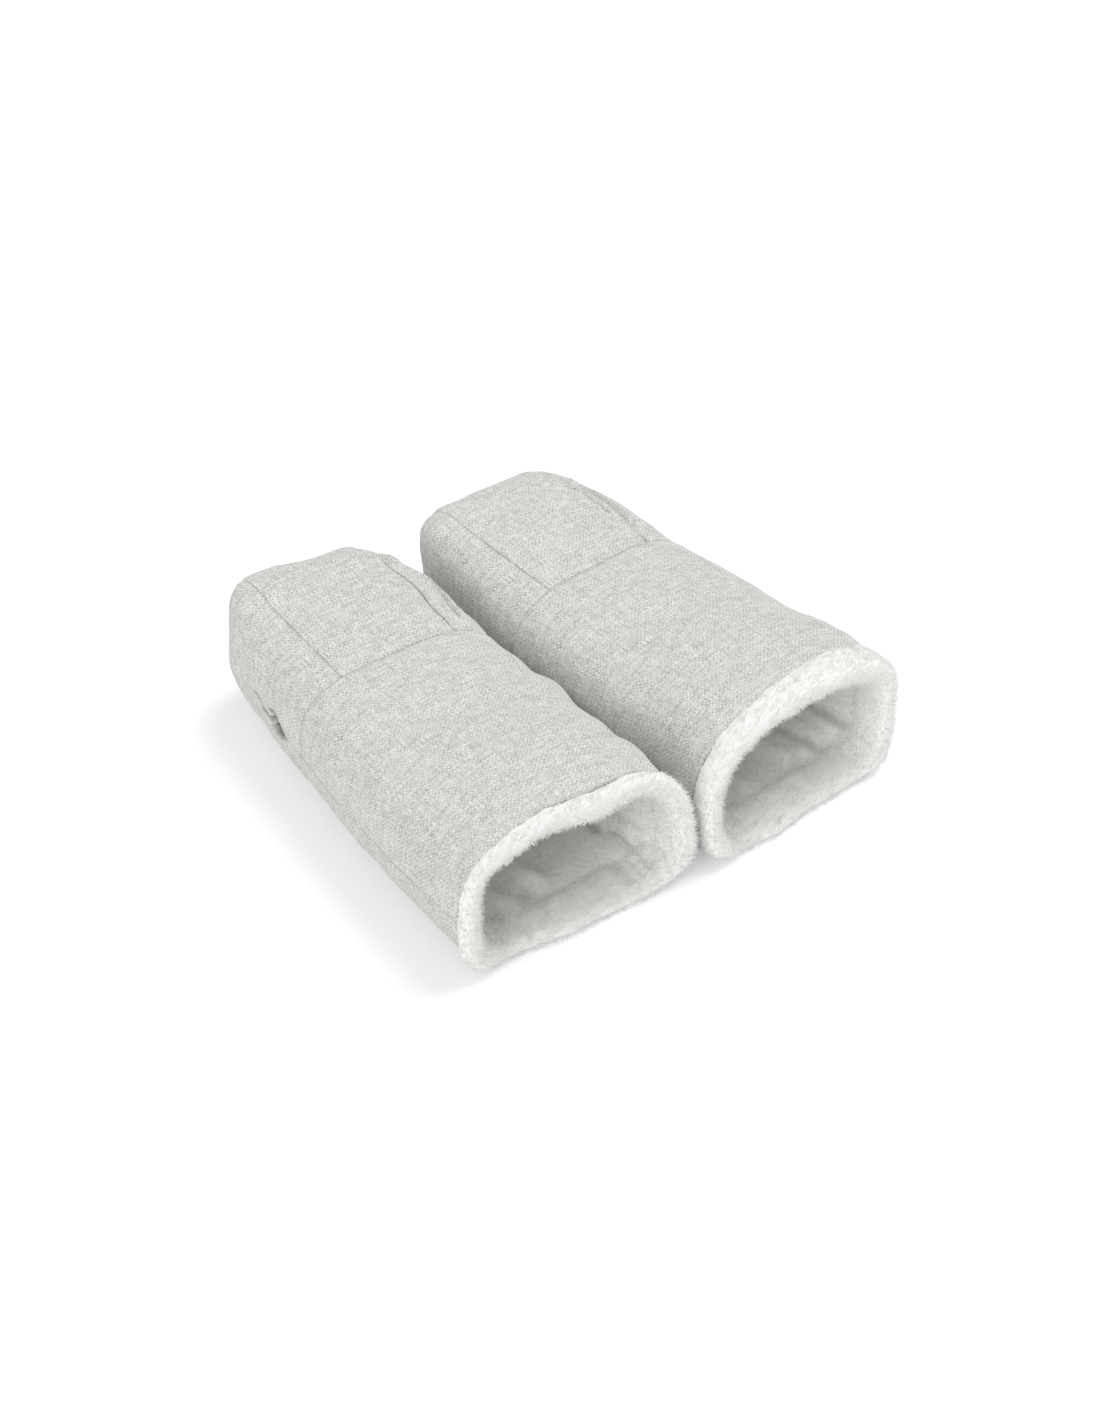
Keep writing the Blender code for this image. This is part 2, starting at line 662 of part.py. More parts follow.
def build():
    """Build the pair."""
    clear_scene()
    parts = bpy.data.collections.new("stroller_hand_muffs")
    cutters = bpy.data.collections.new("cutters")
    for collection in (parts, cutters):
        bpy.context.scene.collection.children.link(collection)
    pair = add_empty("muff_pair", parts)
    meshes = build_meshes()
    for name, way, lead in (("left", -1, 0), ("right", 1, RIGHT_MUFF_LEAD)):
        place = (way * PAIR_SPACING / 2, -lead, 0)
        muff = Muff(name, way, parts, cutters, pair, place, way * TOE_IN_ANGLE)
        muff.build_sleeve(meshes)
        muff.build_hood(meshes)
        muff.build_flap(meshes)
        muff.build_snaps(meshes)
    centre_on_floor(pair, parts)


build()
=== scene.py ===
"""The looks of a pair of padded, fleece-lined stroller hand muffs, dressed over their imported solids.

Each muff's woven covers, fleece linings, plush roll and lip tapes are modelled here from copies of its
solids. The covers are puffed by simulation, the seams are drawn in, and the pile is grown last. The press
studs keep their own solids and get a nickel finish.
"""

import json
import logging
import math
from collections.abc import Callable, Iterable, Iterator
from contextlib import contextmanager
from dataclasses import dataclass, field
from enum import Enum

import bmesh
import bpy
import numpy as np
from mathutils import Matrix, Vector, kdtree, noise

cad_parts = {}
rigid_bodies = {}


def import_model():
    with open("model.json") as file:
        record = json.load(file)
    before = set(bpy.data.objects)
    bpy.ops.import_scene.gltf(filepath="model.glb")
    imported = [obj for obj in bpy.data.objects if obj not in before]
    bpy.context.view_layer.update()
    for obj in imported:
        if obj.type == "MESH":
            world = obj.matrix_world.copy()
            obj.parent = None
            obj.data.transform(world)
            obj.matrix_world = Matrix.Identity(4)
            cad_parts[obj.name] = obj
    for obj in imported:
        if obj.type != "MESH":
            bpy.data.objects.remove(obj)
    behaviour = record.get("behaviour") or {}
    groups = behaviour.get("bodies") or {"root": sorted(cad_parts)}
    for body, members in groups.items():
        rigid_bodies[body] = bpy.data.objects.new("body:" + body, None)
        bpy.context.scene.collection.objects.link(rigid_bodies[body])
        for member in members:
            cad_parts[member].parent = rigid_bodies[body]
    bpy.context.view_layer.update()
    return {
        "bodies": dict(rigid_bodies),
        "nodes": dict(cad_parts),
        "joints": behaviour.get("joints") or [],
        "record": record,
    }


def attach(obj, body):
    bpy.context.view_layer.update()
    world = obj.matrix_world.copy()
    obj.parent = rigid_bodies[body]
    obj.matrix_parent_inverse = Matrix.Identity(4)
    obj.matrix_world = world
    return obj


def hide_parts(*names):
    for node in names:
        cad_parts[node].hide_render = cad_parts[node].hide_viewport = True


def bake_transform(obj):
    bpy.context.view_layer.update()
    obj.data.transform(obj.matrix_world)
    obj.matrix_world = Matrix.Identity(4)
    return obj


Piece = bpy.types.Object
Socket = bpy.types.NodeSocket
Tree = bpy.types.NodeTree
Point = tuple[float, float, float]
Span = tuple[float, float]
Color = tuple[float, float, float, float]

MM = 0.001
PHOTO_HEIGHT = 1423
CUTS = "cuts"
PATTERN = "pattern"
PILE_MASK = "pile"
BASE = "muff_pair"
UP = (0.0, 0.0, 1.0)
LIP_FACING = 0.6
COVER_CLOTH = {
    "quality": 6,
    "mass": 0.25,
    "tension_stiffness": 20.0,
    "compression_stiffness": 20.0,
    "shear_stiffness": 8.0,
    "bending_stiffness": 0.8,
    "use_pressure": True,
    "uniform_pressure_force": 1.0,
    "shrink_min": -0.002,
}

log = logging.getLogger("hand_muffs")


class Sheet(Enum):
    """Which skin of a solid panel a piece is made from: 1 is the outer one, -1 the inner one."""

    OUTER = 1
    INNER = -1


class Lip(Enum):
    """Which way a sheet's lip at the slot faces, if it has one."""

    UP = 1
    NONE = 0
    DOWN = -1


class Seat(Enum):
    """What a piece moves with."""

    BASE = "sleeve and hood"
    FLAP = "flap"
    HINGE = "sleeve before the hinge line, flap after it"


@dataclass(frozen=True)
class Swell:
    """A soft hump, or a hollow where the shift points inwards, in the muff's own millimetres.

    Attributes:
        place: middle of the hump.
        radius: how far the hump reaches.
        shift: how far its middle moves.
    """

    place: Point
    radius: float
    shift: Point


@dataclass(frozen=True)
class Fold:
    """A soft crease along a line, with a low ridge on both of its sides, in the muff's own millimetres.

    Attributes:
        start: one end of the crease.
        end: the other end.
        width: half the width of the crease.
        depth: how deep it is; a negative depth is a ridge.
    """

    start: Point
    end: Point
    width: float
    depth: float

    def depth_at(self, place: Vector) -> float:
        """Gives how deep the crease is at a point.

        Args:
            place: the point in the muff's own millimetres.

        Returns:
            The depth in millimetres; below zero on the low ridges beside the crease.
        """
        end_slope, end_start = 4.0, 0.15
        ridge_height, ridge_place = 0.45, 1.9
        start = Vector(self.start)
        line = Vector(self.end) - start
        share = min(max((place - start).dot(line) / line.length_squared, 0.0), 1.0)
        distance = (place - start - line * share).length / self.width
        ends = smooth_curve(end_slope * share + end_start)
        ends *= smooth_curve(end_slope * (1.0 - share) + end_start)
        valley = math.exp(-distance * distance)
        ridge = ridge_height * math.exp(-((distance - ridge_place) ** 2))
        return self.depth * ends * (valley - ridge)


@dataclass(frozen=True)
class SoftForm:
    """The chance forms of one muff as it lies, in its own millimetres.

    Attributes:
        swells: soft humps and hollows of the whole wall.
        folds: creases of the cover.
        inner_folds: creases of the lining.
        dent_place: where the small dents are read, which differs from muff to muff.
        hem_shift: how far the seam between the cover and the plush roll lies behind its usual place.
        roll_spread: how much wider the plush roll is on the muff's own right.
    """

    swells: tuple[Swell, ...]
    folds: tuple[Fold, ...]
    inner_folds: tuple[Fold, ...]
    dent_place: Point
    hem_shift: float
    roll_spread: float


LEFT_FORM = SoftForm(
    swells=(
        Swell((-64, 256, 28), 20, (2.6, 0, 0)),
        Swell((-58, 295, 40), 26, (-2.6, 2.2, 0)),
        Swell((-38, 304, 80), 40, (-2.6, 3.2, 5.2)),
        Swell((-10, 312, 84), 26, (0, 1.5, 2.2)),
        Swell((70, 160, 72), 56, (-2.4, 0, -1.6)),
        Swell((74, 88, 70), 48, (-2.8, 0, -2.0)),
        Swell((76, 22, 70), 34, (-3.2, 0, -1.6)),
        Swell((8, 6, 80), 38, (0, -1.0, -7.0)),
        Swell((-61, 3, 70), 24, (-3.4, 0, 3.0)),
        Swell((45, 292, 86), 17, (-1.5, 0, -3.0)),
        Swell((47, 243, 86), 34, (6.0, 0, -3.4)),
        Swell((62, 262, 74), 20, (2.0, 0, 2.0)),
        Swell((-69, 227, 46), 13, (0.5, 0, 5.0)),
        Swell((-69, 226, 30), 12, (-1.0, 0, -1.5)),
        Swell((-70, 207, 45), 11, (0, 0, -3.0)),
        Swell((-70, 207, 30), 11, (0, 0, 2.4)),
        Swell((78, 2, 22), 34, (3.2, -1.0, 0)),
        Swell((-42, 0, 4), 30, (0, 3.5, 0.5)),
    ),
    folds=(
        Fold((56, 264, 79), (54, 200, 82), 2.2, 4.6),
        Fold((42, 290, 88), (50, 270, 84), 3.4, 2.8),
        Fold((74, 152, 58), (38, 128, 88), 9.0, 1.9),
        Fold((76, 106, 58), (28, 90, 92), 10.0, 2.0),
        Fold((78, 64, 60), (38, 55, 94), 8.0, 1.7),
        Fold((-78, 118, 42), (-58, 138, 78), 9.0, 1.3),
        Fold((-70, 262, 60), (-60, 212, 74), 7.0, 1.4),
        Fold((-20, 176, 86), (14, 150, 88), 9.0, 0.9),
    ),
    inner_folds=(
        Fold((-22, 86, 14), (-2, 34, 14), 5.0, -3.2),
        Fold((-40, 78, 16), (-13, 28, 12), 5.0, 3.0),
        Fold((-48, 62, 20), (-29, 22, 12), 5.0, -2.6),
        Fold((42, 82, 15), (61, 20, 16), 3.4, 6.5),
    ),
    dent_place=(3.1, 0.7, 5.2),
    hem_shift=-7.0,
    roll_spread=0.0,
)
RIGHT_FORM = SoftForm(
    swells=(
        Swell((-50, 300, 76), 36, (-3.2, 1.6, 3.0)),
        Swell((54, 240, 81), 50, (2.0, 0, 2.6)),
        Swell((64, 134, 76), 56, (1.2, 0, 1.0)),
        Swell((66, 52, 79), 48, (3.6, 0, 3.2)),
        Swell((76, 6, 66), 32, (2.4, 0, 1.8)),
        Swell((78, 0, 50), 46, (-3.4, 0, 0)),
        Swell((-24, 0, 4), 32, (0, -3.4, 0)),
        Swell((-64, 1, 8), 26, (-1.0, -3.0, 0)),
    ),
    folds=(
        Fold((47, 270, 85), (44, 198, 84), 2.2, 4.0),
        Fold((47, 284, 86), (41, 264, 87), 3.4, 2.6),
        Fold((-30, 290, 90), (-34, 247, 87), 6.0, 1.6),
        Fold((-72, 148, 50), (-38, 136, 88), 9.0, 1.4),
        Fold((64, 118, 78), (18, 110, 91), 10.0, 1.3),
        Fold((-74, 84, 52), (-40, 74, 92), 9.0, 1.4),
        Fold((66, 262, 60), (62, 212, 72), 7.0, 1.3),
    ),
    inner_folds=(
        Fold((8, 82, 14), (22, 32, 14), 6.0, -2.6),
        Fold((30, 86, 14), (44, 26, 14), 4.4, 3.6),
        Fold((60, 90, 18), (64, 24, 22), 3.4, 6.0),
        Fold((-34, 74, 15), (-16, 28, 12), 6.0, -2.2),
    ),
    dent_place=(8.4, 2.3, 1.9),
    hem_shift=0.0,
    roll_spread=8.0,
)


@dataclass(frozen=True)
class Pile:
    """How a plush or fleece surface is covered with strands, in metres.

    Attributes:
        strands: about how many strands the whole piece gets.
        length: mean length of a strand.
        width: width of a strand at its root.
        lean: how far the strands lie over, as a share of their height.
        clump: size of the tufts that lean together.
        seed: seed of the strands' places.
        stray: how far one strand strays from its tuft.
        lean_gain: how much stronger the lean is than the noise that it is read from.
        lengths: shortest and longest strand, as shares of the mean.
        widths: thinnest and widest strand, as shares of the mean.
    """

    strands: int
    length: float
    width: float
    lean: float
    clump: float
    seed: int
    stray: float = 0.35
    lean_gain: float = 4.0
    lengths: Span = (0.55, 1.45)
    widths: Span = (0.7, 1.3)


@dataclass(frozen=True)
class Sewing:
    """Sizes of the soft-goods work: metres where MM stands beside them, else the muff's millimetres or shares.

    A name that ends in span holds where something starts and where it is complete.
    """

    # How a solid's skin is taken, cut into cells and puffed.
    merge: float = 0.01 * MM
    skin_facing: float = 0.35
    cell: float = 5.0 * MM
    frames: int = 20
    most_puff: float = 2.2 * MM
    cloth_wall: float = 0.9 * MM
    floor_clearance: float = 0.3 * MM
    pile_clearance: float = 0.05 * MM
    tape_edge: float = 0.7 * MM
    # A seam: its sunk line, the low ridge beside it and the puckers.
    seam_step: float = 1.0 * MM
    seam_depth: float = 0.65 * MM
    seam_reach: float = 1.8 * MM
    seam_close: float = 0.9 * MM
    ridge_share: float = 0.35
    ridge_place: float = 2.2
    ridge_width: float = 1.5
    pucker: float = 0.35 * MM
    pucker_reach: float = 10.0 * MM
    pucker_length: float = 7.0 * MM
    hem_end: float = 25.0 * MM
    # A border that is turned in, with the shares of its depth and bulge at each turn.
    allowance: float = 3.0 * MM
    rim_depth: float = 6.0 * MM
    rim_bulge: float = 1.3 * MM
    rim_turns: tuple[Span, ...] = ((0.12, 0.55), (0.42, 1.0), (1.0, 0.55))
    # Dents of the cloth and gathers at the hem.
    dent_span: Span = (12.0, 42.0)
    broad_dent: float = 46.0
    broad_depth: float = 1.1
    cover_dent: float = 17.0
    lining_dent: float = 8.0
    small_depth: float = 0.6
    hem_span: Span = (48.0, 16.0)
    gather_span: Span = (56.0, 14.0)
    gather_size: Span = (6.0, 45.0)
    gather_depth: float = 0.8
    # Room for the pile of a lining, and where the pile grows.
    pile_room: float = 1.2
    room_span: Span = (20.0, 45.0)
    room_gain: float = 1.4
    front_rise: float = 0.4
    pile_start: float = 24.0
    pile_facing: float = 0.3
    # The wedge under the hand, where lining and roll thin towards the front.
    wedge_high_span: Span = (30.0, 5.0)
    wedge_long_span: Span = (0.0, 42.0)
    wedge_share: float = 0.7
    wedge_floor: float = 4.0
    # The plush roll.
    roll_cell: float = 1.8 * MM
    inside_gain: float = 1.2
    back_span: Span = (5.0, 16.0)
    roll_width: float = 120.0
    roll_lap: float = 0.5
    roll_reach: float = 16.0
    roll_swell: float = 0.2
    roll_proud: float = 0.4
    spread_proud: float = 0.12
    roll_sink: float = 3.0
    sink_span: Span = (22.0, 34.0)
    lump_size: float = 12.0
    lump_height: float = 0.8
    tuft_size: Span = (3.2, 12.0)
    tuft_height: float = 0.55
    plush_floor: float = 1.5
    plush_back: float = 0.25


@contextmanager
def editing(piece: Piece) -> Iterator[bmesh.types.BMesh]:
    """Opens one piece in edit mode with nothing selected, and leaves edit mode again.

    Args:
        piece: the mesh object to edit.

    Returns:
        Its edit mesh.
    """
    pick(piece)
    bpy.ops.object.mode_set(mode="EDIT")
    bpy.ops.mesh.select_all(action="DESELECT")
    try:
        yield bmesh.from_edit_mesh(piece.data)
    finally:
        bpy.ops.object.mode_set(mode="OBJECT")


def pick(piece: Piece) -> None:
    """Selects one piece alone and makes it the active one.

    Args:
        piece: the object to pick.
    """
    bpy.ops.object.select_all(action="DESELECT")
    piece.select_set(True)
    bpy.context.view_layer.objects.active = piece


def select(piece: Piece, kind: str, wanted: Callable[[object], bool]) -> None:
    """Selects, in edit mode, the edges or faces that a test picks.

    Args:
        piece: the piece in edit mode.
        kind: EDGE or FACE.
        wanted: the test of one edge or face.
    """
    bpy.ops.mesh.select_mode(type=kind)
    bpy.ops.mesh.select_all(action="DESELECT")
    shape = bmesh.from_edit_mesh(piece.data)
    for element in shape.edges if kind == "EDGE" else shape.faces:
        element.select_set(wanted(element))
    bmesh.update_edit_mesh(piece.data)


def modify(piece: Piece, kind: str, **settings: object) -> None:
    """Adds a modifier to a piece and applies it.

    Args:
        piece: the piece.
        kind: the modifier's type.
        settings: its properties by name.
    """
    pick(piece)
    modifier = piece.modifiers.new(kind, kind)
    for name, value in settings.items():
        setattr(modifier, name, value)
    bpy.ops.object.modifier_apply(modifier=modifier.name)


def refine(piece: Piece, levels: int) -> None:
    """Halves a piece's cells smoothly, as often as levels says, and keeps the corners of its border."""
    modify(piece, "SUBSURF", levels=levels, render_levels=levels, boundary_smooth="PRESERVE_CORNERS")


def smooth_curve(amount: float) -> float:
    """Gives a smooth step from 0 to 1 for an amount from 0 to 1."""
    held = min(max(amount, 0.0), 1.0)
    return held * held * (3.0 - 2.0 * held)


def rise(value: float, span: Span) -> float:
    """Gives a smooth step that is 0 at a span's start and 1 at its end."""
    return smooth_curve((value - span[0]) / (span[1] - span[0]))


def streaks(place: Vector, size: Span, seed: Vector) -> float:
    """Reads noise that is stretched along a muff.

    Args:
        place: the point in the muff's own millimetres.
        size: the streaks' size across and along the muff.
        seed: where the noise starts.

    Returns:
        The noise, from -1 to 1.
    """
    across, along = size
    return noise.noise(Vector((place.x / across, place.y / along, place.z / across)) + seed)


def mark_strips(shape: bmesh.types.BMesh, size: float) -> list[int]:
    """Marks, on a grid of quads, the edges to cut so that one way's strips get cells of a size.

    Opposite edges of a quad belong to one ring, and the rings that cross in a quad run different
    ways. The longest way is marked.

    Args:
        shape: the mesh in edit mode.
        size: the cells' size in metres.

    Returns:
        The numbers of cuts that were marked.
    """
    layer = shape.edges.layers.int[CUTS]
    ring_of = {}
    rings = []
    for first in shape.edges:
        if first in ring_of:
            continue
        members = []
        waiting = [first]
        ring_of[first] = len(rings)
        while waiting:
            edge = waiting.pop()
            members.append(edge)
            for loop in edge.link_loops:
                opposite = loop.link_loop_next.link_loop_next.edge
                if len(loop.face.verts) == 4 and opposite not in ring_of:
                    ring_of[opposite] = len(rings)
                    waiting.append(opposite)
        rings.append(members)
    crossing = [set() for _ in rings]
    for face in shape.faces:
        if len(face.verts) == 4:
            first, second = (ring_of[face.edges[place]] for place in (0, 1))
            crossing[first].add(second)
            crossing[second].add(first)
    lengths = [sum(edge.calc_length() for edge in members) / len(members) for members in rings]
    cuts_of = [max(0, round(length / size) - 1) for length in lengths]
    taken = set()
    for ring in sorted(range(len(rings)), key=lambda index: -lengths[index]):
        if cuts_of[ring] and not crossing[ring] & taken:
            taken.add(ring)
            for edge in rings[ring]:
                edge[layer] = cuts_of[ring]
    return sorted({cuts_of[ring] for ring in taken})


@dataclass
class BorderSpot:
    """A point on a sheet's border.

    Attributes:
        place: where it is.
        normal: the sheet's normal there.
        away: the way out of the sheet, in its own plane.
        lip: whether it is on a lip of the slot, rather than on a seam.
    """

    place: Vector
    normal: Vector
    away: Vector = field(default_factory=Vector)
    lip: bool = False


def border_of(shape: bmesh.types.BMesh, lip: Lip) -> dict[int, BorderSpot]:
    """Reads a sheet's border.

    Args:
        shape: the sheet in edit mode.
        lip: which way its lip faces.

    Returns:
        Each border point by its index.
    """
    shape.normal_update()
    border = {}
    for edge in shape.edges:
        if not edge.is_boundary:
            continue
        face = edge.link_faces[0]
        away = face.normal.cross(edge.verts[0].co - edge.verts[1].co).normalized()
        if away.dot(edge.verts[0].co - face.calc_center_median()) < 0:
            away.negate()
        for vertex in edge.verts:
            spot = border.setdefault(vertex.index, BorderSpot(vertex.co.copy(), vertex.normal.copy()))
            spot.lip = spot.lip or away.z * lip.value > LIP_FACING
            spot.away += away
    return border


class Graph:
    """Adds linked nodes to one node tree, so that a material reads as a formula."""

    def __init__(self, tree: Tree) -> None:
        """Keeps the tree to build in."""
        self.tree = tree

    def add(self, kind: str, inputs: dict | None = None, **settings: object) -> bpy.types.Node:
        """Adds a node.

        Args:
            kind: the node's type name.
            inputs: what it reads, by the input's name or place.
            settings: properties of the node.

        Returns:
            The new node.
        """
        node = self.tree.nodes.new(kind)
        for name, value in settings.items():
            setattr(node, name, value)
        for place, value in (inputs or {}).items():
            self.feed(node.inputs[place], value)
        return node

    def feed(self, socket: Socket, value: object) -> None:
        """Links an output to an input, or sets the input to a constant.

        Args:
            socket: the input.
            value: an output socket, or a number, colour or vector.
        """
        if isinstance(value, Socket):
            self.tree.links.new(value, socket)
        else:
            socket.default_value = value

    def math(self, operation: str, *values: object, clamp: bool = False) -> Socket:
        """Adds a math node and gives its result, held between 0 and 1 where clamp says so."""
        given = dict(enumerate(values))
        return self.add("ShaderNodeMath", given, operation=operation, use_clamp=clamp).outputs[0]

    def vector(self, operation: str, first: object, second: object) -> Socket:
        """Adds a vector math node and gives its result."""
        place = "Scale" if operation == "SCALE" else 1
        return self.add("ShaderNodeVectorMath", {0: first, place: second}, operation=operation).outputs[0]

    def join(self, x: object, y: object, z: object = 0.0) -> Socket:
        """Makes a vector of three numbers."""
        return self.add("ShaderNodeCombineXYZ", {0: x, 1: y, 2: z}).outputs[0]

    def noise(self, vector: object, scale: float, detail: float, output: str = "Fac") -> Socket:
        """Adds a noise texture.

        Args:
            vector: where it is read.
            scale: its scale.
            detail: its number of finer layers.
            output: Fac for a value or Color for a vector, both about 0.5 in the mean.

        Returns:
            The noise.
        """
        given = {"Vector": vector, "Scale": scale, "Detail": detail}
        return self.add("ShaderNodeTexNoise", given).outputs[output]

    def mix(self, share: object, first: object, second: object) -> Socket:
        """Mixes two colours, with more of the second as the share grows."""
        return self.add("ShaderNodeMix", {"Factor": share, 6: first, 7: second}, data_type="RGBA").outputs[2]

    def ramp(self, value: object, *bounds: float) -> Socket:
        """Maps a value from one range to another, given as their four bounds, and holds it there."""
        return self.add("ShaderNodeMapRange", dict(enumerate((value, *bounds)))).outputs[0]

    def random(self, low: float, high: float, seed: int) -> Socket:
        """Adds a random number between two bounds for each strand."""
        node = self.add("FunctionNodeRandomValue", {2: low, 3: high, "Seed": seed}, data_type="FLOAT")
        return node.outputs[1]

    def seen(self) -> Socket:
        """Gives 1 for what the camera sees, directly, in a gloss or through something clear, and else 0."""
        rays = self.add("ShaderNodeLightPath").outputs
        near = self.math("MAXIMUM", rays["Is Camera Ray"], rays["Is Glossy Ray"])
        return self.math("MAXIMUM", near, rays["Is Transmission Ray"])


def new_group(name: str, inputs: dict[str, str], outputs: tuple[str, ...]) -> tuple[Graph, dict, dict]:
    """Starts a shader node group with named sockets.

    Args:
        name: the group's name.
        inputs: each input's name and socket type.
        outputs: each output's name; all are values.

    Returns:
        The graph to build in, the group's inputs as sockets to read, and its outputs as sockets to feed.
    """
    tree = bpy.data.node_groups.new(name, "ShaderNodeTree")
    for label, kind in inputs.items():
        tree.interface.new_socket(name=label, in_out="INPUT", socket_type=kind)
    for label in outputs:
        tree.interface.new_socket(name=label, in_out="OUTPUT", socket_type="NodeSocketFloat")
    graph = Graph(tree)
    source = graph.add("NodeGroupInput")
    target = graph.add("NodeGroupOutput")
    return graph, {s.name: s for s in source.outputs}, {s.name: s for s in target.inputs}


def basket_weave_group() -> Tree:
    """Builds the basket weave: pairs of threads that pass over and under each other.

    Returns:
        The group, with a shade from 0 to 1 that holds painted shade in the gaps between threads, and a height.
    """
    graph, given, result = new_group(
        "basket_weave",
        {"Vector": "NodeSocketVector", "Cell": "NodeSocketFloat", "Slub": "NodeSocketFloat"},
        ("Shade", "Height"),
    )
    parts = graph.add("ShaderNodeSeparateXYZ", {0: given["Vector"]}).outputs
    across = graph.math("DIVIDE", parts[0], given["Cell"])
    along = graph.math("DIVIDE", parts[1], given["Cell"])
    # Threads wander a little, so that no row is dead straight.
    drift = graph.noise(graph.join(across, along), 0.09, 3.0)
    wander = graph.math("MULTIPLY", graph.math("SUBTRACT", drift, 0.5), 1.6)
    across = graph.math("ADD", across, wander)
    along = graph.math("SUBTRACT", along, wander)
    checks = graph.math("ADD", graph.math("FLOOR", across), graph.math("FLOOR", along))
    over = graph.math("FLOORED_MODULO", checks, 2.0)
    under = graph.math("SUBTRACT", 1.0, over)
    heights = []
    shades = []
    # The warp lies on top where over is 1, and the weft, which is a little darker, where it is 0.
    for on_top, darkest, palest, round_axis, long_axis in (
        (over, 0.50, 1.0, across, along),
        (under, 0.25, 0.90, along, across),
    ):
        thread = graph.math("MULTIPLY", round_axis, 2.0)
        profile = graph.math("SINE", graph.math("MULTIPLY", graph.math("FRACT", thread), math.pi))
        arch = graph.math("SINE", graph.math("MULTIPLY", graph.math("FRACT", long_axis), math.pi))
        lifted = graph.math("MULTIPLY_ADD", arch, 0.55, 0.45)
        heights.append(graph.math("MULTIPLY", on_top, graph.math("MULTIPLY", profile, lifted)))
        number = graph.math("FLOOR", thread)
        fibre = graph.noise(graph.join(graph.math("MULTIPLY", number, 3.7), long_axis), 0.8, 3.0)
        slow = graph.math("MULTIPLY", long_axis, 0.12)
        streak = graph.noise(graph.join(graph.math("MULTIPLY", number, 5.3), slow), 1.0, 2.0)
        yarn = graph.math("ADD", graph.math("MULTIPLY", fibre, 0.35), graph.math("MULTIPLY", streak, 0.65))
        shades.append(graph.math("MULTIPLY", on_top, graph.ramp(yarn, 0.40, 0.60, darkest, palest)))
    height = graph.math("ADD", *heights)
    slub = graph.math("SUBTRACT", graph.noise(given["Vector"], 240.0, 3.0), 0.5)
    tone = graph.math("ADD", graph.math("ADD", *shades), graph.math("MULTIPLY", slub, given["Slub"]))
    # Painted shade: the cloth darkens where its height is low, in the gaps between threads and where a thread
    # dips under another.
    gap_shade = graph.ramp(height, 0.0, 0.5, 0.1, 1.0)
    graph.feed(result["Shade"], graph.math("MULTIPLY", tone, gap_shade, clamp=True))
    graph.feed(result["Height"], height)
    return graph.tree


def tufts_and_shade_group() -> Tree:
    """Builds the mottling of a pile: soft tufts, with painted shade that darkens the low partings between
    them.

    Returns:
        The group, with a tone from 0 to 1 and a height.
    """
    graph, given, result = new_group(
        "pile_tufts", {"Vector": "NodeSocketVector", "Size": "NodeSocketFloat"}, ("Tone", "Height")
    )
    size = graph.join(given["Size"], given["Size"], given["Size"])
    place = graph.vector("DIVIDE", given["Vector"], size)
    clumps = graph.noise(place, 1.0, 3.0)
    hairs = graph.noise(place, 5.0, 2.0)
    # Painted shade: the tone follows the same noise as the height, so the low partings between tufts are
    # darker.
    tone = graph.math("MULTIPLY_ADD", graph.math("SUBTRACT", hairs, 0.5), 0.5, clumps)
    graph.feed(result["Tone"], graph.ramp(tone, 0.3, 0.7, 0.0, 1.0))
    graph.feed(result["Height"], graph.math("MULTIPLY_ADD", hairs, 0.4, clumps))
    return graph.tree


@dataclass(frozen=True)
class Surface:
    """A finish: its colours, its roughness and its relief.

    Attributes:
        name: the material's name.
        dark: colour of its darkest places.
        pale: colour of its palest places.
        plain_rough: its plain roughness.
        rough: the bounds from which and to which its roughness is mapped, where it isn't plain.
        sheen: weight of its sheen.
        strength: strength of its bump.
        depth: depth of its bump in metres; 0 where it has none.
        metal: 1 for metal, 0 for cloth.
        specular: level of its plain gloss.
        sheen_rough: roughness of its sheen.
    """

    name: str
    dark: Color
    pale: Color
    plain_rough: float
    rough: tuple[float, ...] = ()
    sheen: float = 0.0
    strength: float = 0.0
    depth: float = 0.0
    metal: float = 0.0
    specular: float = 0.25
    sheen_rough: float = 0.6

    def pattern(self, graph: Graph) -> tuple[Socket, Socket, Socket]:
        """Builds what the colour, the roughness and the relief follow, in this order."""
        raise NotImplementedError

    def make(self) -> bpy.types.Material:
        """Makes the material.

        Returns:
            The material, with its pattern in colour, roughness and bump.
        """
        material = bpy.data.materials.new(self.name)
        material.use_nodes = True
        graph = Graph(material.node_tree)
        inputs = material.node_tree.nodes["Principled BSDF"].inputs
        inputs["Roughness"].default_value = self.plain_rough
        inputs["Specular IOR Level"].default_value = self.specular
        inputs["Sheen Weight"].default_value = self.sheen
        inputs["Sheen Roughness"].default_value = self.sheen_rough
        inputs["Metallic"].default_value = self.metal
        tone, wear, height = self.pattern(graph)
        graph.feed(inputs["Base Color"], graph.mix(tone, self.dark, self.pale))
        if self.rough:
            graph.feed(inputs["Roughness"], graph.ramp(wear, *self.rough))
        if self.depth:
            relief = {"Strength": self.strength, "Distance": self.depth, "Height": height}
            graph.feed(inputs["Normal"], graph.add("ShaderNodeBump", relief).outputs[0])
        return material


@dataclass(frozen=True)
class WovenCloth(Surface):
    """The pale grey melange basket cloth of the covers, with painted shade between its threads.

    Attributes:
        weave: the basket weave group.
        cell: width of a pair of threads in metres.
        slub: how uneven the yarn's shade is.
    """

    weave: Tree | None = None
    cell: float = 1.5 * MM
    slub: float = 0.55

    def pattern(self, graph: Graph) -> tuple[Socket, Socket, Socket]:
        """Lays the weave on the cloth's paper pattern."""
        place = graph.add("ShaderNodeUVMap", uv_map=PATTERN).outputs[0]
        given = {"Vector": place, "Cell": self.cell, "Slub": self.slub}
        weave = graph.add("ShaderNodeGroup", given, node_tree=self.weave).outputs
        return weave["Shade"], weave["Height"], weave["Height"]


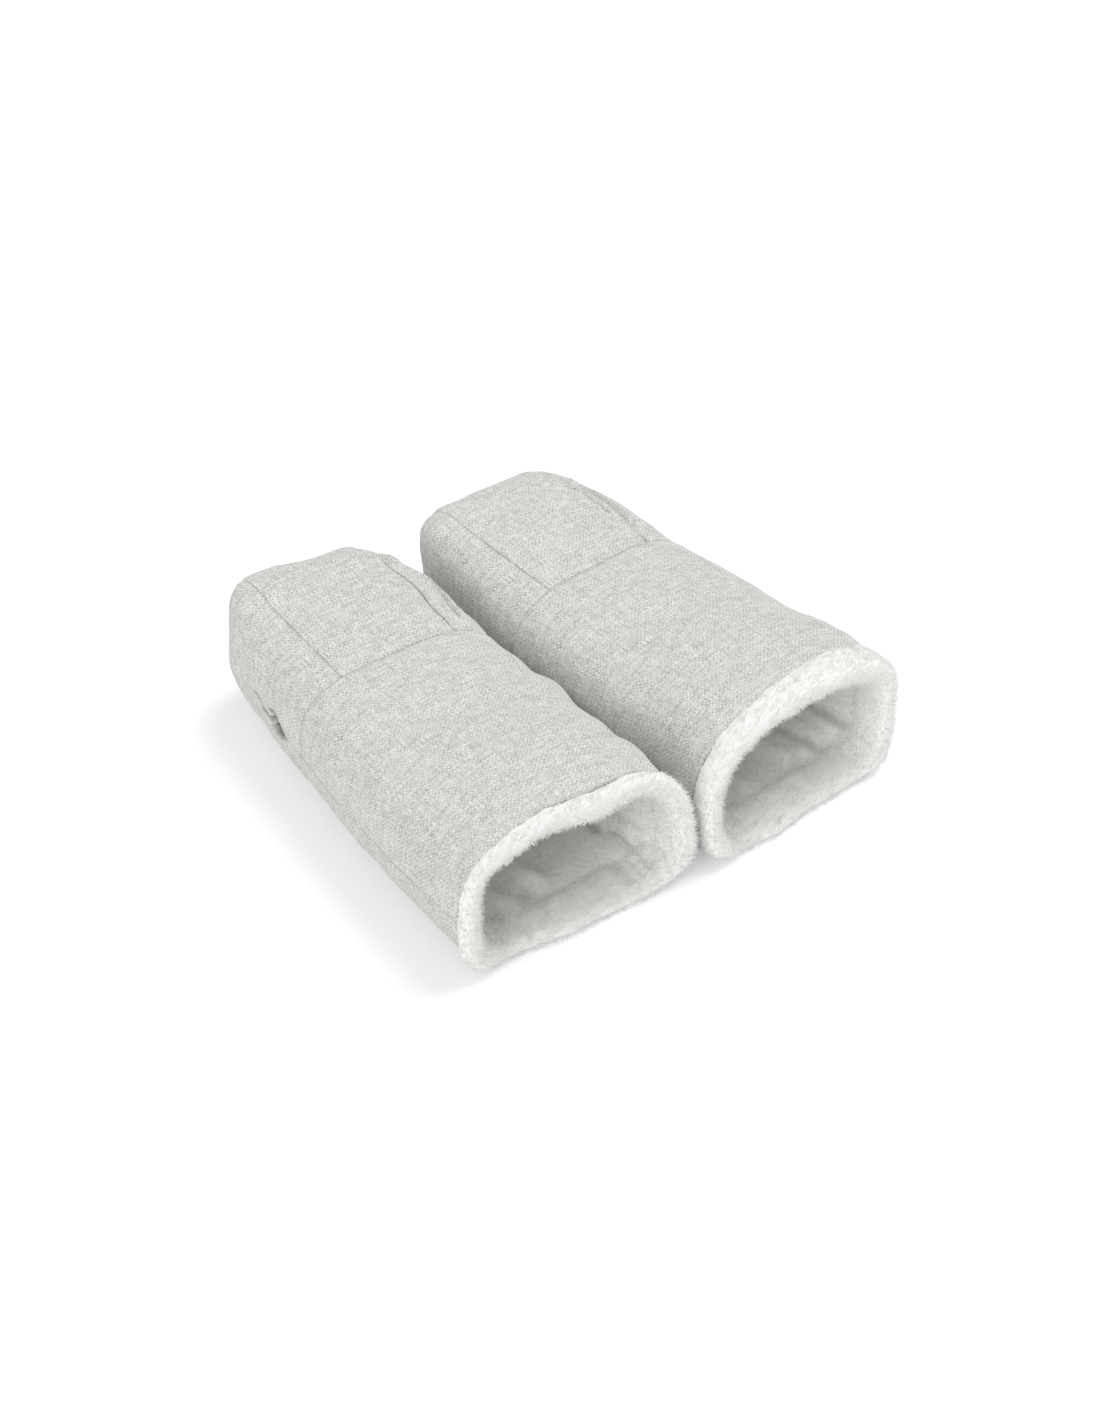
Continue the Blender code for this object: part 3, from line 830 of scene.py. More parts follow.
@dataclass(frozen=True)
class Plush(Surface):
    """A plush or fleece.

    Attributes:
        tufts: the group of pile tufts, with painted shade in their partings.
        tuft: size of a tuft in metres.
    """

    tufts: Tree | None = None
    tuft: float = 3.0 * MM

    def pattern(self, graph: Graph) -> tuple[Socket, Socket, Socket]:
        """Spreads tufts through the pile, with painted shade in their partings."""
        place = graph.add("ShaderNodeTexCoord").outputs["Object"]
        given = {"Vector": place, "Size": self.tuft}
        tufts = graph.add("ShaderNodeGroup", given, node_tree=self.tufts).outputs
        return tufts["Tone"], tufts["Tone"], tufts["Height"]


@dataclass(frozen=True)
class Tape(Surface):
    """The fine ribbed tape of the press studs' tabs, with ribs that are rib metres apart and painted shade in
    the valleys between them.
    """

    rib: float = 0.8 * MM

    def pattern(self, graph: Graph) -> tuple[Socket, Socket, Socket]:
        """Runs ribs across the tape, with painted shade in the valleys between them."""
        place = graph.add("ShaderNodeTexCoord").outputs["Object"]
        along = graph.add("ShaderNodeSeparateXYZ", {0: place}).outputs[1]
        wave = graph.math("SINE", graph.math("MULTIPLY", along, math.tau / self.rib))
        # Painted shade: the tape's colour follows the ribs' relief and is darker in the valleys between them.
        tone = graph.ramp(wave, -1.0, 1.0, 0.0, 1.0)
        return tone, tone, tone


@dataclass(frozen=True)
class HandledMetal(Surface):
    """The brushed, slightly handled metal of the press studs, with marks of a noise scale."""

    marks: float = 900.0

    def pattern(self, graph: Graph) -> tuple[Socket, Socket, Socket]:
        """Spreads small marks over the metal."""
        wear = graph.noise(graph.add("ShaderNodeTexCoord").outputs["Object"], self.marks, 4.0)
        return wear, wear, wear


def make_finishes() -> dict[str, bpy.types.Material]:
    """Makes every material, with the shared node groups built once.

    Returns:
        The materials by the record's slot.
    """
    tufts = tufts_and_shade_group()
    soft = {
        "plain_rough": 0.95,
        "rough": (0.0, 1.0, 1.0, 0.9),
        "sheen": 0.05,
        "strength": 0.6,
        "depth": 0.7 * MM,
        "tufts": tufts,
    }
    surfaces = {
        "woven_shell": WovenCloth(
            "woven_shell",
            # The dark colour shows mostly in the weave's painted shade between threads, and a little in the
            # darker weft.
            dark=(0.31, 0.315, 0.297, 1.0),
            pale=(0.99, 0.995, 0.96, 1.0),
            plain_rough=0.92,
            rough=(0.0, 1.0, 0.98, 0.86),
            sheen=0.12,
            strength=0.6,
            depth=0.25 * MM,
            weave=basket_weave_group(),
        ),
        "fleece_lining": Plush("fleece_lining", (0.85, 0.837, 0.80, 1.0), (0.99, 0.983, 0.955, 1.0), **soft),
        "plush_fur": Plush("plush_fur", (0.92, 0.915, 0.90, 1.0), (0.985, 0.983, 0.97, 1.0), **soft),
        "snap_tape": Tape(
            "snap_tape",
            dark=(0.60, 0.60, 0.58, 1.0),
            pale=(0.80, 0.80, 0.78, 1.0),
            plain_rough=0.85,
            sheen=0.1,
            strength=0.5,
            depth=0.1 * MM,
        ),
        "snap_metal": HandledMetal(
            "stud_nickel",
            dark=(0.50, 0.49, 0.47, 1.0),
            pale=(0.66, 0.65, 0.63, 1.0),
            plain_rough=0.35,
            rough=(0.3, 0.7, 0.28, 0.48),
            metal=1.0,
        ),
    }
    return {slot: surface.make() for slot, surface in surfaces.items()}


@dataclass
class Muff:
    """One hand muff: where it lies, and how each of its soft pieces is made.

    Attributes:
        name: left or right, as its nodes' names start.
        flap_joint: the frame's joint of its flap, which also gives the muff's own axes.
        frame: the loaded frame.
        finishes: its materials by slot.
        form: its chance forms.
        work: the sizes of the soft-goods work.
        sleeve_length: from the front of the muff to its cross seam, in metres.
        heart_end: where its middle line ends, in its own millimetres.
        heart_height: how high its middle line runs, in its own millimetres.
        bend_reach: how far behind the hinge line the flap's cloth still bends, in metres.
        fleece_pile: the pile in the sleeve.
        toe_pile: the pile in the toe.
        plush_pile: the pile of the roll.
    """

    name: str
    flap_joint: dict
    frame: dict
    finishes: dict[str, bpy.types.Material]
    form: SoftForm
    work: Sewing = Sewing()
    sleeve_length: float = 190.5 * MM
    heart_end: float = 262.0
    heart_height: float = 45.0
    bend_reach: float = 36.0 * MM
    fleece_pile: Pile = Pile(12000, 2.5 * MM, 0.5 * MM, 0.7, 6.0 * MM, 11)
    toe_pile: Pile = Pile(5000, 2.0 * MM, 0.45 * MM, 0.7, 5.0 * MM, 12)
    plush_pile: Pile = Pile(9200, 3.1 * MM, 0.55 * MM, 0.8, 5.0 * MM, 13)

    def __post_init__(self) -> None:
        """Works out the muff's own axes from the flap's hinge line."""
        across = -Vector(self.flap_joint["axis"]).normalized()
        along = Vector(UP).cross(across)
        place = Vector(self.flap_joint["pos_m"]) - along * self.sleeve_length
        turned = Matrix((across, along, Vector(UP))).transposed().to_4x4()
        self.to_world = Matrix.Translation(place) @ turned
        self.to_own = self.to_world.inverted()

    def node(self, part: str) -> Piece:
        """Gives the frame's object of one of this muff's parts."""
        return self.frame["nodes"][f"{self.name}_{part}"]

    def facing(self, own: Vector, normal: Vector) -> float:
        """Gives how far a surface faces away from the muff's middle line.

        Args:
            own: a point in the muff's own millimetres.
            normal: the surface's normal there, in the muff's own axes.

        Returns:
            1 where it faces straight outwards, -1 where it faces straight inwards.
        """
        heart = Vector((0.0, min(max(own.y, 0.0), self.heart_end), self.heart_height))
        return normal.dot((own - heart).normalized())

    def in_own(self, place: Vector, normal: Vector) -> tuple[Vector, Vector]:
        """Gives a world place and direction in the muff's own millimetres and axes."""
        return (self.to_own @ place) / MM, self.to_own.to_3x3() @ normal

    def set_points(self, piece: Piece, places: Iterable[Vector]) -> None:
        """Moves every point of a piece to a world place, but keeps it above the floor."""
        low = self.work.floor_clearance
        flat = [part for place in places for part in (place.x, place.y, max(place.z, low))]
        piece.data.vertices.foreach_set("co", flat)
        piece.data.update()

    def reshape(self, piece: Piece, moved: Callable[[Vector, Vector], Vector]) -> None:
        """Moves every point of a piece.

        Args:
            piece: the piece.
            moved: gives a point's new place from its place and normal, in the muff's own millimetres.
        """
        spots = [self.in_own(vertex.co, vertex.normal) for vertex in piece.data.vertices]
        self.set_points(piece, (self.to_world @ (moved(*spot) * MM) for spot in spots))

    def copy_of(self, part: str, name: str) -> Piece:
        """Makes a new piece from a copy of a part's solid, with its loose triangles merged.

        Args:
            part: the part's name without the muff's.
            name: the new piece's name without the muff's.

        Returns:
            The new piece.
        """
        mesh = self.node(part).data.copy()
        mesh.materials.clear()
        mesh.name = f"{self.name}_{name}"
        piece = bpy.data.objects.new(mesh.name, mesh)
        bpy.context.scene.collection.objects.link(piece)
        with editing(piece):
            bpy.ops.mesh.select_all(action="SELECT")
            bpy.ops.mesh.remove_doubles(threshold=self.work.merge)
            bpy.ops.mesh.customdata_custom_splitnormals_clear()
        return piece

    def skin_of(self, part: str, name: str, sheet: Sheet) -> Piece:
        """Makes a new open sheet from the outer or inner skin of a part's solid.

        Args:
            part: the part's name without the muff's.
            name: the new piece's name without the muff's.
            sheet: which skin.

        Returns:
            The new sheet, in even cells.
        """

        def hidden(face: bmesh.types.BMFace) -> bool:
            """Says whether a face belongs to the other skin or to the edge between them."""
            outwards = self.facing(*self.in_own(face.calc_center_median(), face.normal))
            return outwards * sheet.value < self.work.skin_facing

        piece = self.copy_of(part, name)
        with editing(piece):
            select(piece, "FACE", hidden)
            bpy.ops.mesh.delete(type="FACE")
            bpy.ops.mesh.select_all(action="SELECT")
            bpy.ops.mesh.tris_convert_to_quads(face_threshold=math.radians(80), shape_threshold=math.pi)
        self.even_cells(piece, self.work.cell)
        return piece

    def even_cells(self, piece: Piece, size: float) -> None:
        """Cuts a sheet of long quads into cells of about one size, first one way and then the other.

        Args:
            piece: the sheet.
            size: the cells' size in metres.
        """
        with editing(piece) as shape:
            shape.edges.layers.int.new(CUTS)
            for _ in range(2):
                for cuts in mark_strips(bmesh.from_edit_mesh(piece.data), size):
                    layer = bmesh.from_edit_mesh(piece.data).edges.layers.int[CUTS]
                    select(piece, "EDGE", lambda edge: edge[layer] == cuts)
                    bpy.ops.mesh.subdivide(number_cuts=cuts)
                    shape = bmesh.from_edit_mesh(piece.data)
                    layer = shape.edges.layers.int[CUTS]
                    for edge in shape.edges:
                        if edge[layer] == cuts:
                            edge[layer] = 0
        piece.data.attributes.remove(piece.data.attributes[CUTS])

    def puff(self, piece: Piece) -> None:
        """Fills a cover's sheet with air by a short cloth simulation, held along its border.

        Args:
            piece: the sheet.
        """
        before = [vertex.co.copy() for vertex in piece.data.vertices]
        with editing(piece) as shape:
            border = {vertex.index for edge in shape.edges if edge.is_boundary for vertex in edge.verts}
        held = piece.vertex_groups.new(name="held")
        held.add(sorted(border), 1.0, "REPLACE")
        pick(piece)
        cloth = piece.modifiers.new("Puff", "CLOTH")
        for name, value in COVER_CLOTH.items():
            setattr(cloth.settings, name, value)
        cloth.settings.vertex_group_mass = held.name
        cloth.settings.effector_weights.gravity = 0.0
        cloth.point_cache.frame_end = self.work.frames
        for moment in range(1, self.work.frames + 1):
            bpy.context.scene.frame_set(moment)
        bpy.ops.object.modifier_apply(modifier=cloth.name)
        bpy.context.scene.frame_set(1)
        piece.vertex_groups.clear()
        for vertex, start in zip(piece.data.vertices, before):
            shift = vertex.co - start
            if shift.length > self.work.most_puff:
                vertex.co = start + shift.normalized() * self.work.most_puff

    def softened(self, own: Vector, normal: Vector, sheet: Sheet) -> Vector:
        """Moves a point by the muff's swells, creases and small dents, and by the gathers at a cover's hem.

        Args:
            own: the point in the muff's own millimetres.
            normal: the sheet's normal there.
            sheet: whether it is on a cover or on a lining.

        Returns:
            The point's new place.
        """
        form, work = self.form, self.work
        outer = sheet is Sheet.OUTER
        seed = Vector(form.dent_place)
        shift = self.swollen(own)
        for fold in form.folds if outer else form.inner_folds:
            shift -= normal * fold.depth_at(own)
        fade = rise(own.y, work.dent_span)
        broad = noise.noise(own / work.broad_dent + seed)
        small = noise.noise(own / (work.cover_dent if outer else work.lining_dent) - seed)
        shift += normal * fade * (work.broad_depth * broad + work.small_depth * small)
        if outer:
            shift.y += form.hem_shift * rise(own.y, work.hem_span)
            gathers = streaks(own, work.gather_size, seed)
            shift += normal * work.gather_depth * gathers * rise(own.y, work.gather_span)
        else:
            shift.z -= self.wedge(own)
        return own + shift

    def swollen(self, own: Vector) -> Vector:
        """Gives how far the muff's swells move a point.

        Args:
            own: the point in the muff's own millimetres.

        Returns:
            The shift in the same millimetres.
        """
        shift = Vector()
        for swell in self.form.swells:
            share = 1.0 - (own - Vector(swell.place)).length / swell.radius
            shift += Vector(swell.shift) * smooth_curve(share)
        return shift

    def wedge(self, own: Vector) -> float:
        """Gives how far the lining and the roll sink under the hand, where they thin towards the front.

        Args:
            own: a point in the muff's own millimetres.

        Returns:
            The drop in millimetres.
        """
        work = self.work
        low = rise(own.z, work.wedge_high_span) * (1.0 - rise(own.y, work.wedge_long_span))
        return low * work.wedge_share * max(own.z - work.wedge_floor, 0.0)

    def draw_in_seams(self, piece: Piece, lip: Lip) -> None:
        """Sinks a sheet's border into its seam and gathers the cloth beside it in small puckers.

        Args:
            piece: the sheet.
            lip: which way its lip faces.
        """
        work = self.work
        with editing(piece) as shape:
            border = border_of(shape, lip)
            spots = []
            for edge in shape.edges:
                if not edge.is_boundary or all(border[vertex.index].lip for vertex in edge.verts):
                    continue
                first, last = (vertex.co.copy() for vertex in edge.verts)
                if (self.to_own @ first).y < work.hem_end:
                    continue
                steps = max(1, math.ceil((last - first).length / work.seam_step))
                spots += [first.lerp(last, step / steps) for step in range(steps)]
        tree = kdtree.KDTree(len(spots))
        for index, spot in enumerate(spots):
            tree.insert(spot, index)
        tree.balance()
        places = []
        for vertex in piece.data.vertices:
            spot, _, distance = tree.find(vertex.co)
            sink = work.seam_depth * math.exp(-((distance / work.seam_reach) ** 2))
            ripple = noise.noise(spot / work.pucker_length)
            gather = work.pucker * ripple * math.exp(-distance / work.pucker_reach)
            off_ridge = (distance - work.ridge_place * work.seam_reach) / (work.ridge_width * work.seam_reach)
            ridge = work.ridge_share * work.seam_depth * math.exp(-(off_ridge**2))
            move = vertex.normal * (gather + ridge - sink)
            if vertex.index in border and not border[vertex.index].lip:
                move += border[vertex.index].away.normalized() * work.seam_close
            places.append(vertex.co + move)
        self.set_points(piece, places)

    def turn_in_border(self, piece: Piece, lip: Lip) -> None:
        """Turns a sheet's border inwards: a thin allowance at a seam, a rounded rim at a lip.

        Args:
            piece: the sheet.
            lip: which way its lip faces.
        """
        work = self.work
        with editing(piece) as shape:
            spot_at = {tuple(spot.place): spot for spot in border_of(shape, lip).values()}
            for depth_share, bulge_share in work.rim_turns:
                select(piece, "EDGE", lambda edge: edge.is_boundary)
                bpy.ops.mesh.extrude_edges_indiv()
                fresh = {}
                for vertex in bmesh.from_edit_mesh(piece.data).verts:
                    if not vertex.select:
                        continue
                    spot = spot_at[tuple(vertex.co)]
                    depth = work.rim_depth if spot.lip else work.allowance
                    bulge = work.rim_bulge * bulge_share if spot.lip else 0.0
                    inwards = spot.normal * depth * depth_share
                    vertex.co = spot.place - inwards + spot.away.normalized() * bulge
                    vertex.co.z = max(vertex.co.z, work.floor_clearance)
                    fresh[tuple(vertex.co)] = spot
                spot_at = fresh
                bmesh.update_edit_mesh(piece.data)

    def lay_pattern(self, piece: Piece) -> None:
        """Unwraps a sheet as its paper pattern, at its real size and with the muff's length up the page.

        Args:
            piece: the sheet.
        """
        mesh = piece.data
        mesh.uv_layers.new(name=PATTERN)
        with editing(piece):
            bpy.ops.mesh.select_all(action="SELECT")
            bpy.ops.uv.unwrap(method="MINIMUM_STRETCH", iterations=12, margin=0.001)
        flat = np.empty(len(mesh.loops) * 2)
        mesh.uv_layers[PATTERN].data.foreach_get("uv", flat)
        flat = flat.reshape(-1, 2)
        points = np.array([self.to_own @ vertex.co for vertex in mesh.vertices])
        corner = np.empty(len(mesh.loops), dtype=int)
        mesh.loops.foreach_get("vertex_index", corner)
        following = np.arange(len(mesh.loops)) + 1
        for polygon in mesh.polygons:
            following[polygon.loop_start + polygon.loop_total - 1] = polygon.loop_start
        step = flat[following] - flat
        real = points[corner[following]] - points[corner]
        scale = math.sqrt((real**2).sum() / (step**2).sum())
        angle = math.atan2((real[:, 1] * step[:, 0]).sum(), (real[:, 1] * step[:, 1]).sum())
        turn = np.array(((math.cos(angle), -math.sin(angle)), (math.sin(angle), math.cos(angle))))
        laid = flat @ turn.T * scale
        mesh.uv_layers[PATTERN].data.foreach_set("uv", laid.ravel())

    def finish_piece(self, piece: Piece, slot: str, seat: Seat, replaced: tuple[str, ...]) -> None:
        """Gives a piece its material, its body and the solids that it stands for.

        Args:
            piece: the piece.
            slot: the record's material slot.
            seat: what it moves with.
            replaced: the parts that it replaces.
        """
        piece.data.materials.clear()
        piece.data.materials.append(self.finishes[slot])
        pick(piece)
        bpy.ops.object.shade_smooth()
        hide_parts(*(f"{self.name}_{part}" for part in replaced))
        flap = f"{self.name}_flap"
        if seat is Seat.HINGE:
            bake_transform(piece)
        else:
            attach(piece, flap if seat is Seat.FLAP else BASE)
        log.info("%s: %d faces", piece.name, len(piece.data.polygons))

    def cover(
        self, part: str, name: str, seat: Seat, lip: Lip, hidden: tuple[str, ...] = (), fineness: int = 1
    ) -> None:
        """Makes one woven cover panel: puffed, seamed, turned in and given its thickness.

        Args:
            part: the solid panel that it is made from.
            name: the cover's name.
            seat: what it moves with.
            lip: which way its lip faces.
            hidden: other parts that it stands for, such as the wadding under it.
            fineness: how often its cells are halved, for creases as narrow as they show.
        """
        piece = self.skin_of(part, name, Sheet.OUTER)
        self.puff(piece)
        refine(piece, fineness)
        self.reshape(piece, lambda own, normal: self.softened(own, normal, Sheet.OUTER))
        self.draw_in_seams(piece, lip)
        self.turn_in_border(piece, lip)
        self.lay_pattern(piece)
        modify(piece, "SOLIDIFY", thickness=self.work.cloth_wall, offset=-1.0)
        self.finish_piece(piece, "woven_shell", seat, (part, *hidden))

    def make_room(self, own: Vector, normal: Vector) -> Vector:
        """Sinks a point of a lining for its pile, but lifts it a little near the plush roll."""
        work = self.work
        share = work.room_gain * rise(own.y, work.room_span) - work.front_rise
        return own + normal * work.pile_room * share

    def has_fleece(self, own: Vector, normal: Vector) -> bool:
        """Says whether a lining's pile grows at a point: behind the roll, and only on its inside."""
        return own.y > self.work.pile_start and self.facing(own, normal) < self.work.pile_facing

    def lining(self, part: str, name: str, seat: Seat, lip: Lip, pile: Pile) -> None:
        """Makes one fleece lining with its pile.

        Args:
            part: the solid lining that it is made from.
            name: the lining's name.
            seat: what it moves with.
            lip: which way its lip faces.
            pile: how its pile is grown.
        """
        piece = self.skin_of(part, name, Sheet.INNER)
        refine(piece, 1)
        self.reshape(piece, self.make_room)
        self.reshape(piece, lambda own, normal: self.softened(own, normal, Sheet.INNER))
        self.turn_in_border(piece, lip)
        modify(piece, "SOLIDIFY", thickness=self.work.cloth_wall, offset=-1.0)
        self.grow_pile(piece, pile, self.has_fleece)
        self.finish_piece(piece, "fleece_lining", seat, (part,))

    def has_plush(self, own: Vector, normal: Vector) -> bool:
        """Says whether the roll's pile grows at a point: not underneath, nor where it faces back."""
        return own.z > self.work.plush_floor and normal.y < self.work.plush_back

    def fur_roll(self, pile: Pile) -> None:
        """Makes the plush roll round the hand opening.

        Args:
            pile: how its pile is grown.
        """
        piece = self.copy_of("fur_cuff", "fur_roll")
        modify(piece, "REMESH", mode="VOXEL", voxel_size=self.work.roll_cell)
        with editing(piece):
            bpy.ops.mesh.select_all(action="SELECT")
            bpy.ops.mesh.vertices_smooth(factor=0.5, repeat=10)
        refine(piece, 1)
        self.reshape(piece, self.plumped)
        self.grow_pile(piece, pile, self.has_plush)
        self.finish_piece(piece, "plush_fur", Seat.BASE, ("fur_cuff",))

    def plumped(self, own: Vector, normal: Vector) -> Vector:
        """Moves a point of the roll: it swells in soft lumps, laps over the cover and sinks in the fleece.

        Args:
            own: the point in the muff's own millimetres.
            normal: the roll's normal there.

        Returns:
            The point's new place.
        """
        form, work = self.form, self.work
        away = Vector((own.x, 0.0, own.z - self.heart_height)).normalized()
        inside = smooth_curve(0.5 - work.inside_gain * normal.dot(away))
        outside = 1.0 - inside
        back = rise(own.y, work.back_span)
        wide = form.roll_spread * smooth_curve(0.5 + own.x / work.roll_width)
        lap = work.roll_lap + form.hem_shift + wide
        lump = work.lump_height * noise.noise(own / work.lump_size + Vector(form.dent_place))
        lump += work.tuft_height * streaks(own, work.tuft_size, Vector())
        moved = own + normal * (lump + work.roll_swell * (1.0 - back) * outside)
        moved.y += back * (lap * outside + work.roll_reach * inside)
        # The roll's inside runs on under the lining, so that no edge shows between them.
        sink = work.roll_sink * rise(moved.y, work.sink_span) - work.front_rise * back
        moved += away * (back * (work.roll_proud + work.spread_proud * wide) * outside + sink * inside)
        moved.z -= self.wedge(moved)
        return moved + self.swollen(own)

    def grow_pile(self, piece: Piece, pile: Pile, grows: Callable[[Vector, Vector], bool]) -> None:
        """Grows strands of pile on a piece.

        Args:
            piece: the piece.
            pile: how they grow.
            grows: a test of place and normal, in the muff's own millimetres, that says where.
        """
        mesh = piece.data
        mask = mesh.attributes.new(PILE_MASK, "FLOAT", "POINT")
        chosen = [float(grows(*self.in_own(vertex.co, vertex.normal))) for vertex in mesh.vertices]
        mask.data.foreach_set("value", chosen)
        area = sum(face.area for face in mesh.polygons if all(chosen[place] for place in face.vertices))
        strand = model_strand()
        tree = pile_tree(pile, strand, pile.strands / area)
        modify(piece, "NODES", node_group=tree)
        bpy.data.node_groups.remove(tree)
        bpy.data.meshes.remove(strand.data)
        for vertex in piece.data.vertices:
            vertex.co.z = max(vertex.co.z, self.work.pile_clearance)

    def tape(self, part: str, seat: Seat) -> None:
        """Makes one folded tape tab that carries a press stud or socket.

        Args:
            part: the solid tab.
            seat: what it moves with.
        """
        piece = self.copy_of(part, part.replace("snap_tab", "tape_tab"))
        modify(piece, "BEVEL", width=self.work.tape_edge, segments=3, limit_method="ANGLE")
        self.finish_piece(piece, "snap_tape", seat, (part,))

    def build(self) -> None:
        """Builds every soft piece of the muff and dresses its press studs."""
        self.cover("sleeve_top_panel", "sleeve_top_cover", Seat.BASE, Lip.NONE, ("sleeve_padding",))
        self.cover("sleeve_bottom_panel", "sleeve_bottom_cover", Seat.BASE, Lip.NONE)
        self.cover("hood_top_panel", "hood_top_cover", Seat.BASE, Lip.DOWN, ("hood_padding",))
        self.cover("hood_outer_gusset", "hood_outer_cover", Seat.BASE, Lip.DOWN)
        self.cover("hood_inner_gusset", "hood_inner_cover", Seat.BASE, Lip.DOWN, fineness=2)
        self.cover("flap_outer_panel", "flap_cover", Seat.HINGE, Lip.UP, ("flap_padding",))
        self.lining("sleeve_lining", "sleeve_fleece", Seat.BASE, Lip.NONE, self.fleece_pile)
        self.lining("hood_lining", "hood_fleece", Seat.BASE, Lip.DOWN, self.toe_pile)
        self.lining("flap_lining", "flap_fleece", Seat.HINGE, Lip.UP, self.toe_pile)
        self.fur_roll(self.plush_pile)
        for side in ("outer", "inner"):
            self.tape(f"hood_{side}_snap_tab", Seat.BASE)
            self.tape(f"flap_{side}_snap_tab", Seat.FLAP)
            for part in ("snap_socket", "socket_ring", "snap_stud", "stud_ring"):
                metal = self.node(f"{side}_{part}")
                metal.data.materials.clear()
                metal.data.materials.append(self.finishes["snap_metal"])


def model_strand() -> Piece:
    """Models one bent strand of pile, one unit long and one wide at its root, a little sunk in its ground.

    Returns:
        The strand.
    """
    middle, bend, sunk = 0.5, 0.25, 0.1
    bpy.ops.object.select_all(action="DESELECT")
    bpy.ops.mesh.primitive_cone_add(
        vertices=4, radius1=0.5, radius2=0.0, depth=1.0, end_fill_type="NOTHING", location=(0.0, 0.0, middle)
    )
    strand = bpy.context.active_object
    with editing(strand):
        bpy.ops.mesh.select_all(action="SELECT")
        bpy.ops.mesh.bisect(plane_co=(0.0, 0.0, middle), plane_no=UP)
    for vertex in strand.data.vertices:
        vertex.co.x += bend * (vertex.co.z + middle) ** 2
        vertex.co.z += middle - sunk
    return strand


def pile_tree(pile: Pile, strand: Piece, density: float) -> Tree:
    """Builds the geometry nodes that set strands on a surface and lean them in tufts.

    Args:
        pile: how the strands grow.
        strand: the strand to copy.
        density: strands for each square metre.

    Returns:
        The node tree.
    """
    turn_seed, length_seed, width_seed = 3, 0, 5
    tree = bpy.data.node_groups.new("grown_pile", "GeometryNodeTree")
    for way in ("INPUT", "OUTPUT"):
        tree.interface.new_socket(name="Geometry", in_out=way, socket_type="NodeSocketGeometry")
    graph = Graph(tree)
    source = graph.add("NodeGroupInput").outputs[0]
    mask = graph.add("GeometryNodeInputNamedAttribute", {"Name": PILE_MASK}, data_type="FLOAT").outputs[0]
    spread = graph.add(
        "GeometryNodeDistributePointsOnFaces",
        {"Mesh": source, "Density": graph.math("MULTIPLY", mask, density), "Seed": pile.seed},
        distribute_method="RANDOM",
    ).outputs
    place = graph.add("GeometryNodeInputPosition").outputs[0]
    clump = graph.noise(place, 1.0 / pile.clump, 1.0, "Color")
    lean = graph.vector("SCALE", graph.vector("SUBTRACT", clump, (0.5, 0.5, 0.5)), pile.lean * pile.lean_gain)
    bounds = {0: (-pile.stray,) * 3, 1: (pile.stray,) * 3}
    stray = graph.add("FunctionNodeRandomValue", bounds, data_type="FLOAT_VECTOR").outputs[0]
    way = graph.vector("ADD", graph.vector("ADD", lean, stray), spread["Normal"])
    aim = graph.add("FunctionNodeAlignRotationToVector", {"Vector": way}, axis="Z").outputs[0]
    angle = graph.random(0.0, math.tau, turn_seed)
    spin = graph.add("FunctionNodeAxisAngleToRotation", {"Axis": UP, "Angle": angle}).outputs[0]
    turned = graph.add("FunctionNodeRotateRotation", {0: aim, 1: spin}, rotation_space="LOCAL").outputs[0]
    tall = graph.random(*(pile.length * share for share in pile.lengths), length_seed)
    wide = graph.random(*(pile.width * share for share in pile.widths), width_seed)
    planted = graph.add(
        "GeometryNodeInstanceOnPoints",
        {
            "Points": spread["Points"],
            "Instance": graph.add("GeometryNodeObjectInfo", {"Object": strand}).outputs["Geometry"],
            "Rotation": turned,
            "Scale": graph.join(wide, wide, tall),
        },
    )
    real = graph.add("GeometryNodeRealizeInstances", {0: planted.outputs[0]})
    both = graph.add("GeometryNodeJoinGeometry", {0: real.outputs[0]})
    graph.feed(both.inputs[0], source)
    graph.add("NodeGroupOutput", {0: both.outputs[0]})
    return tree


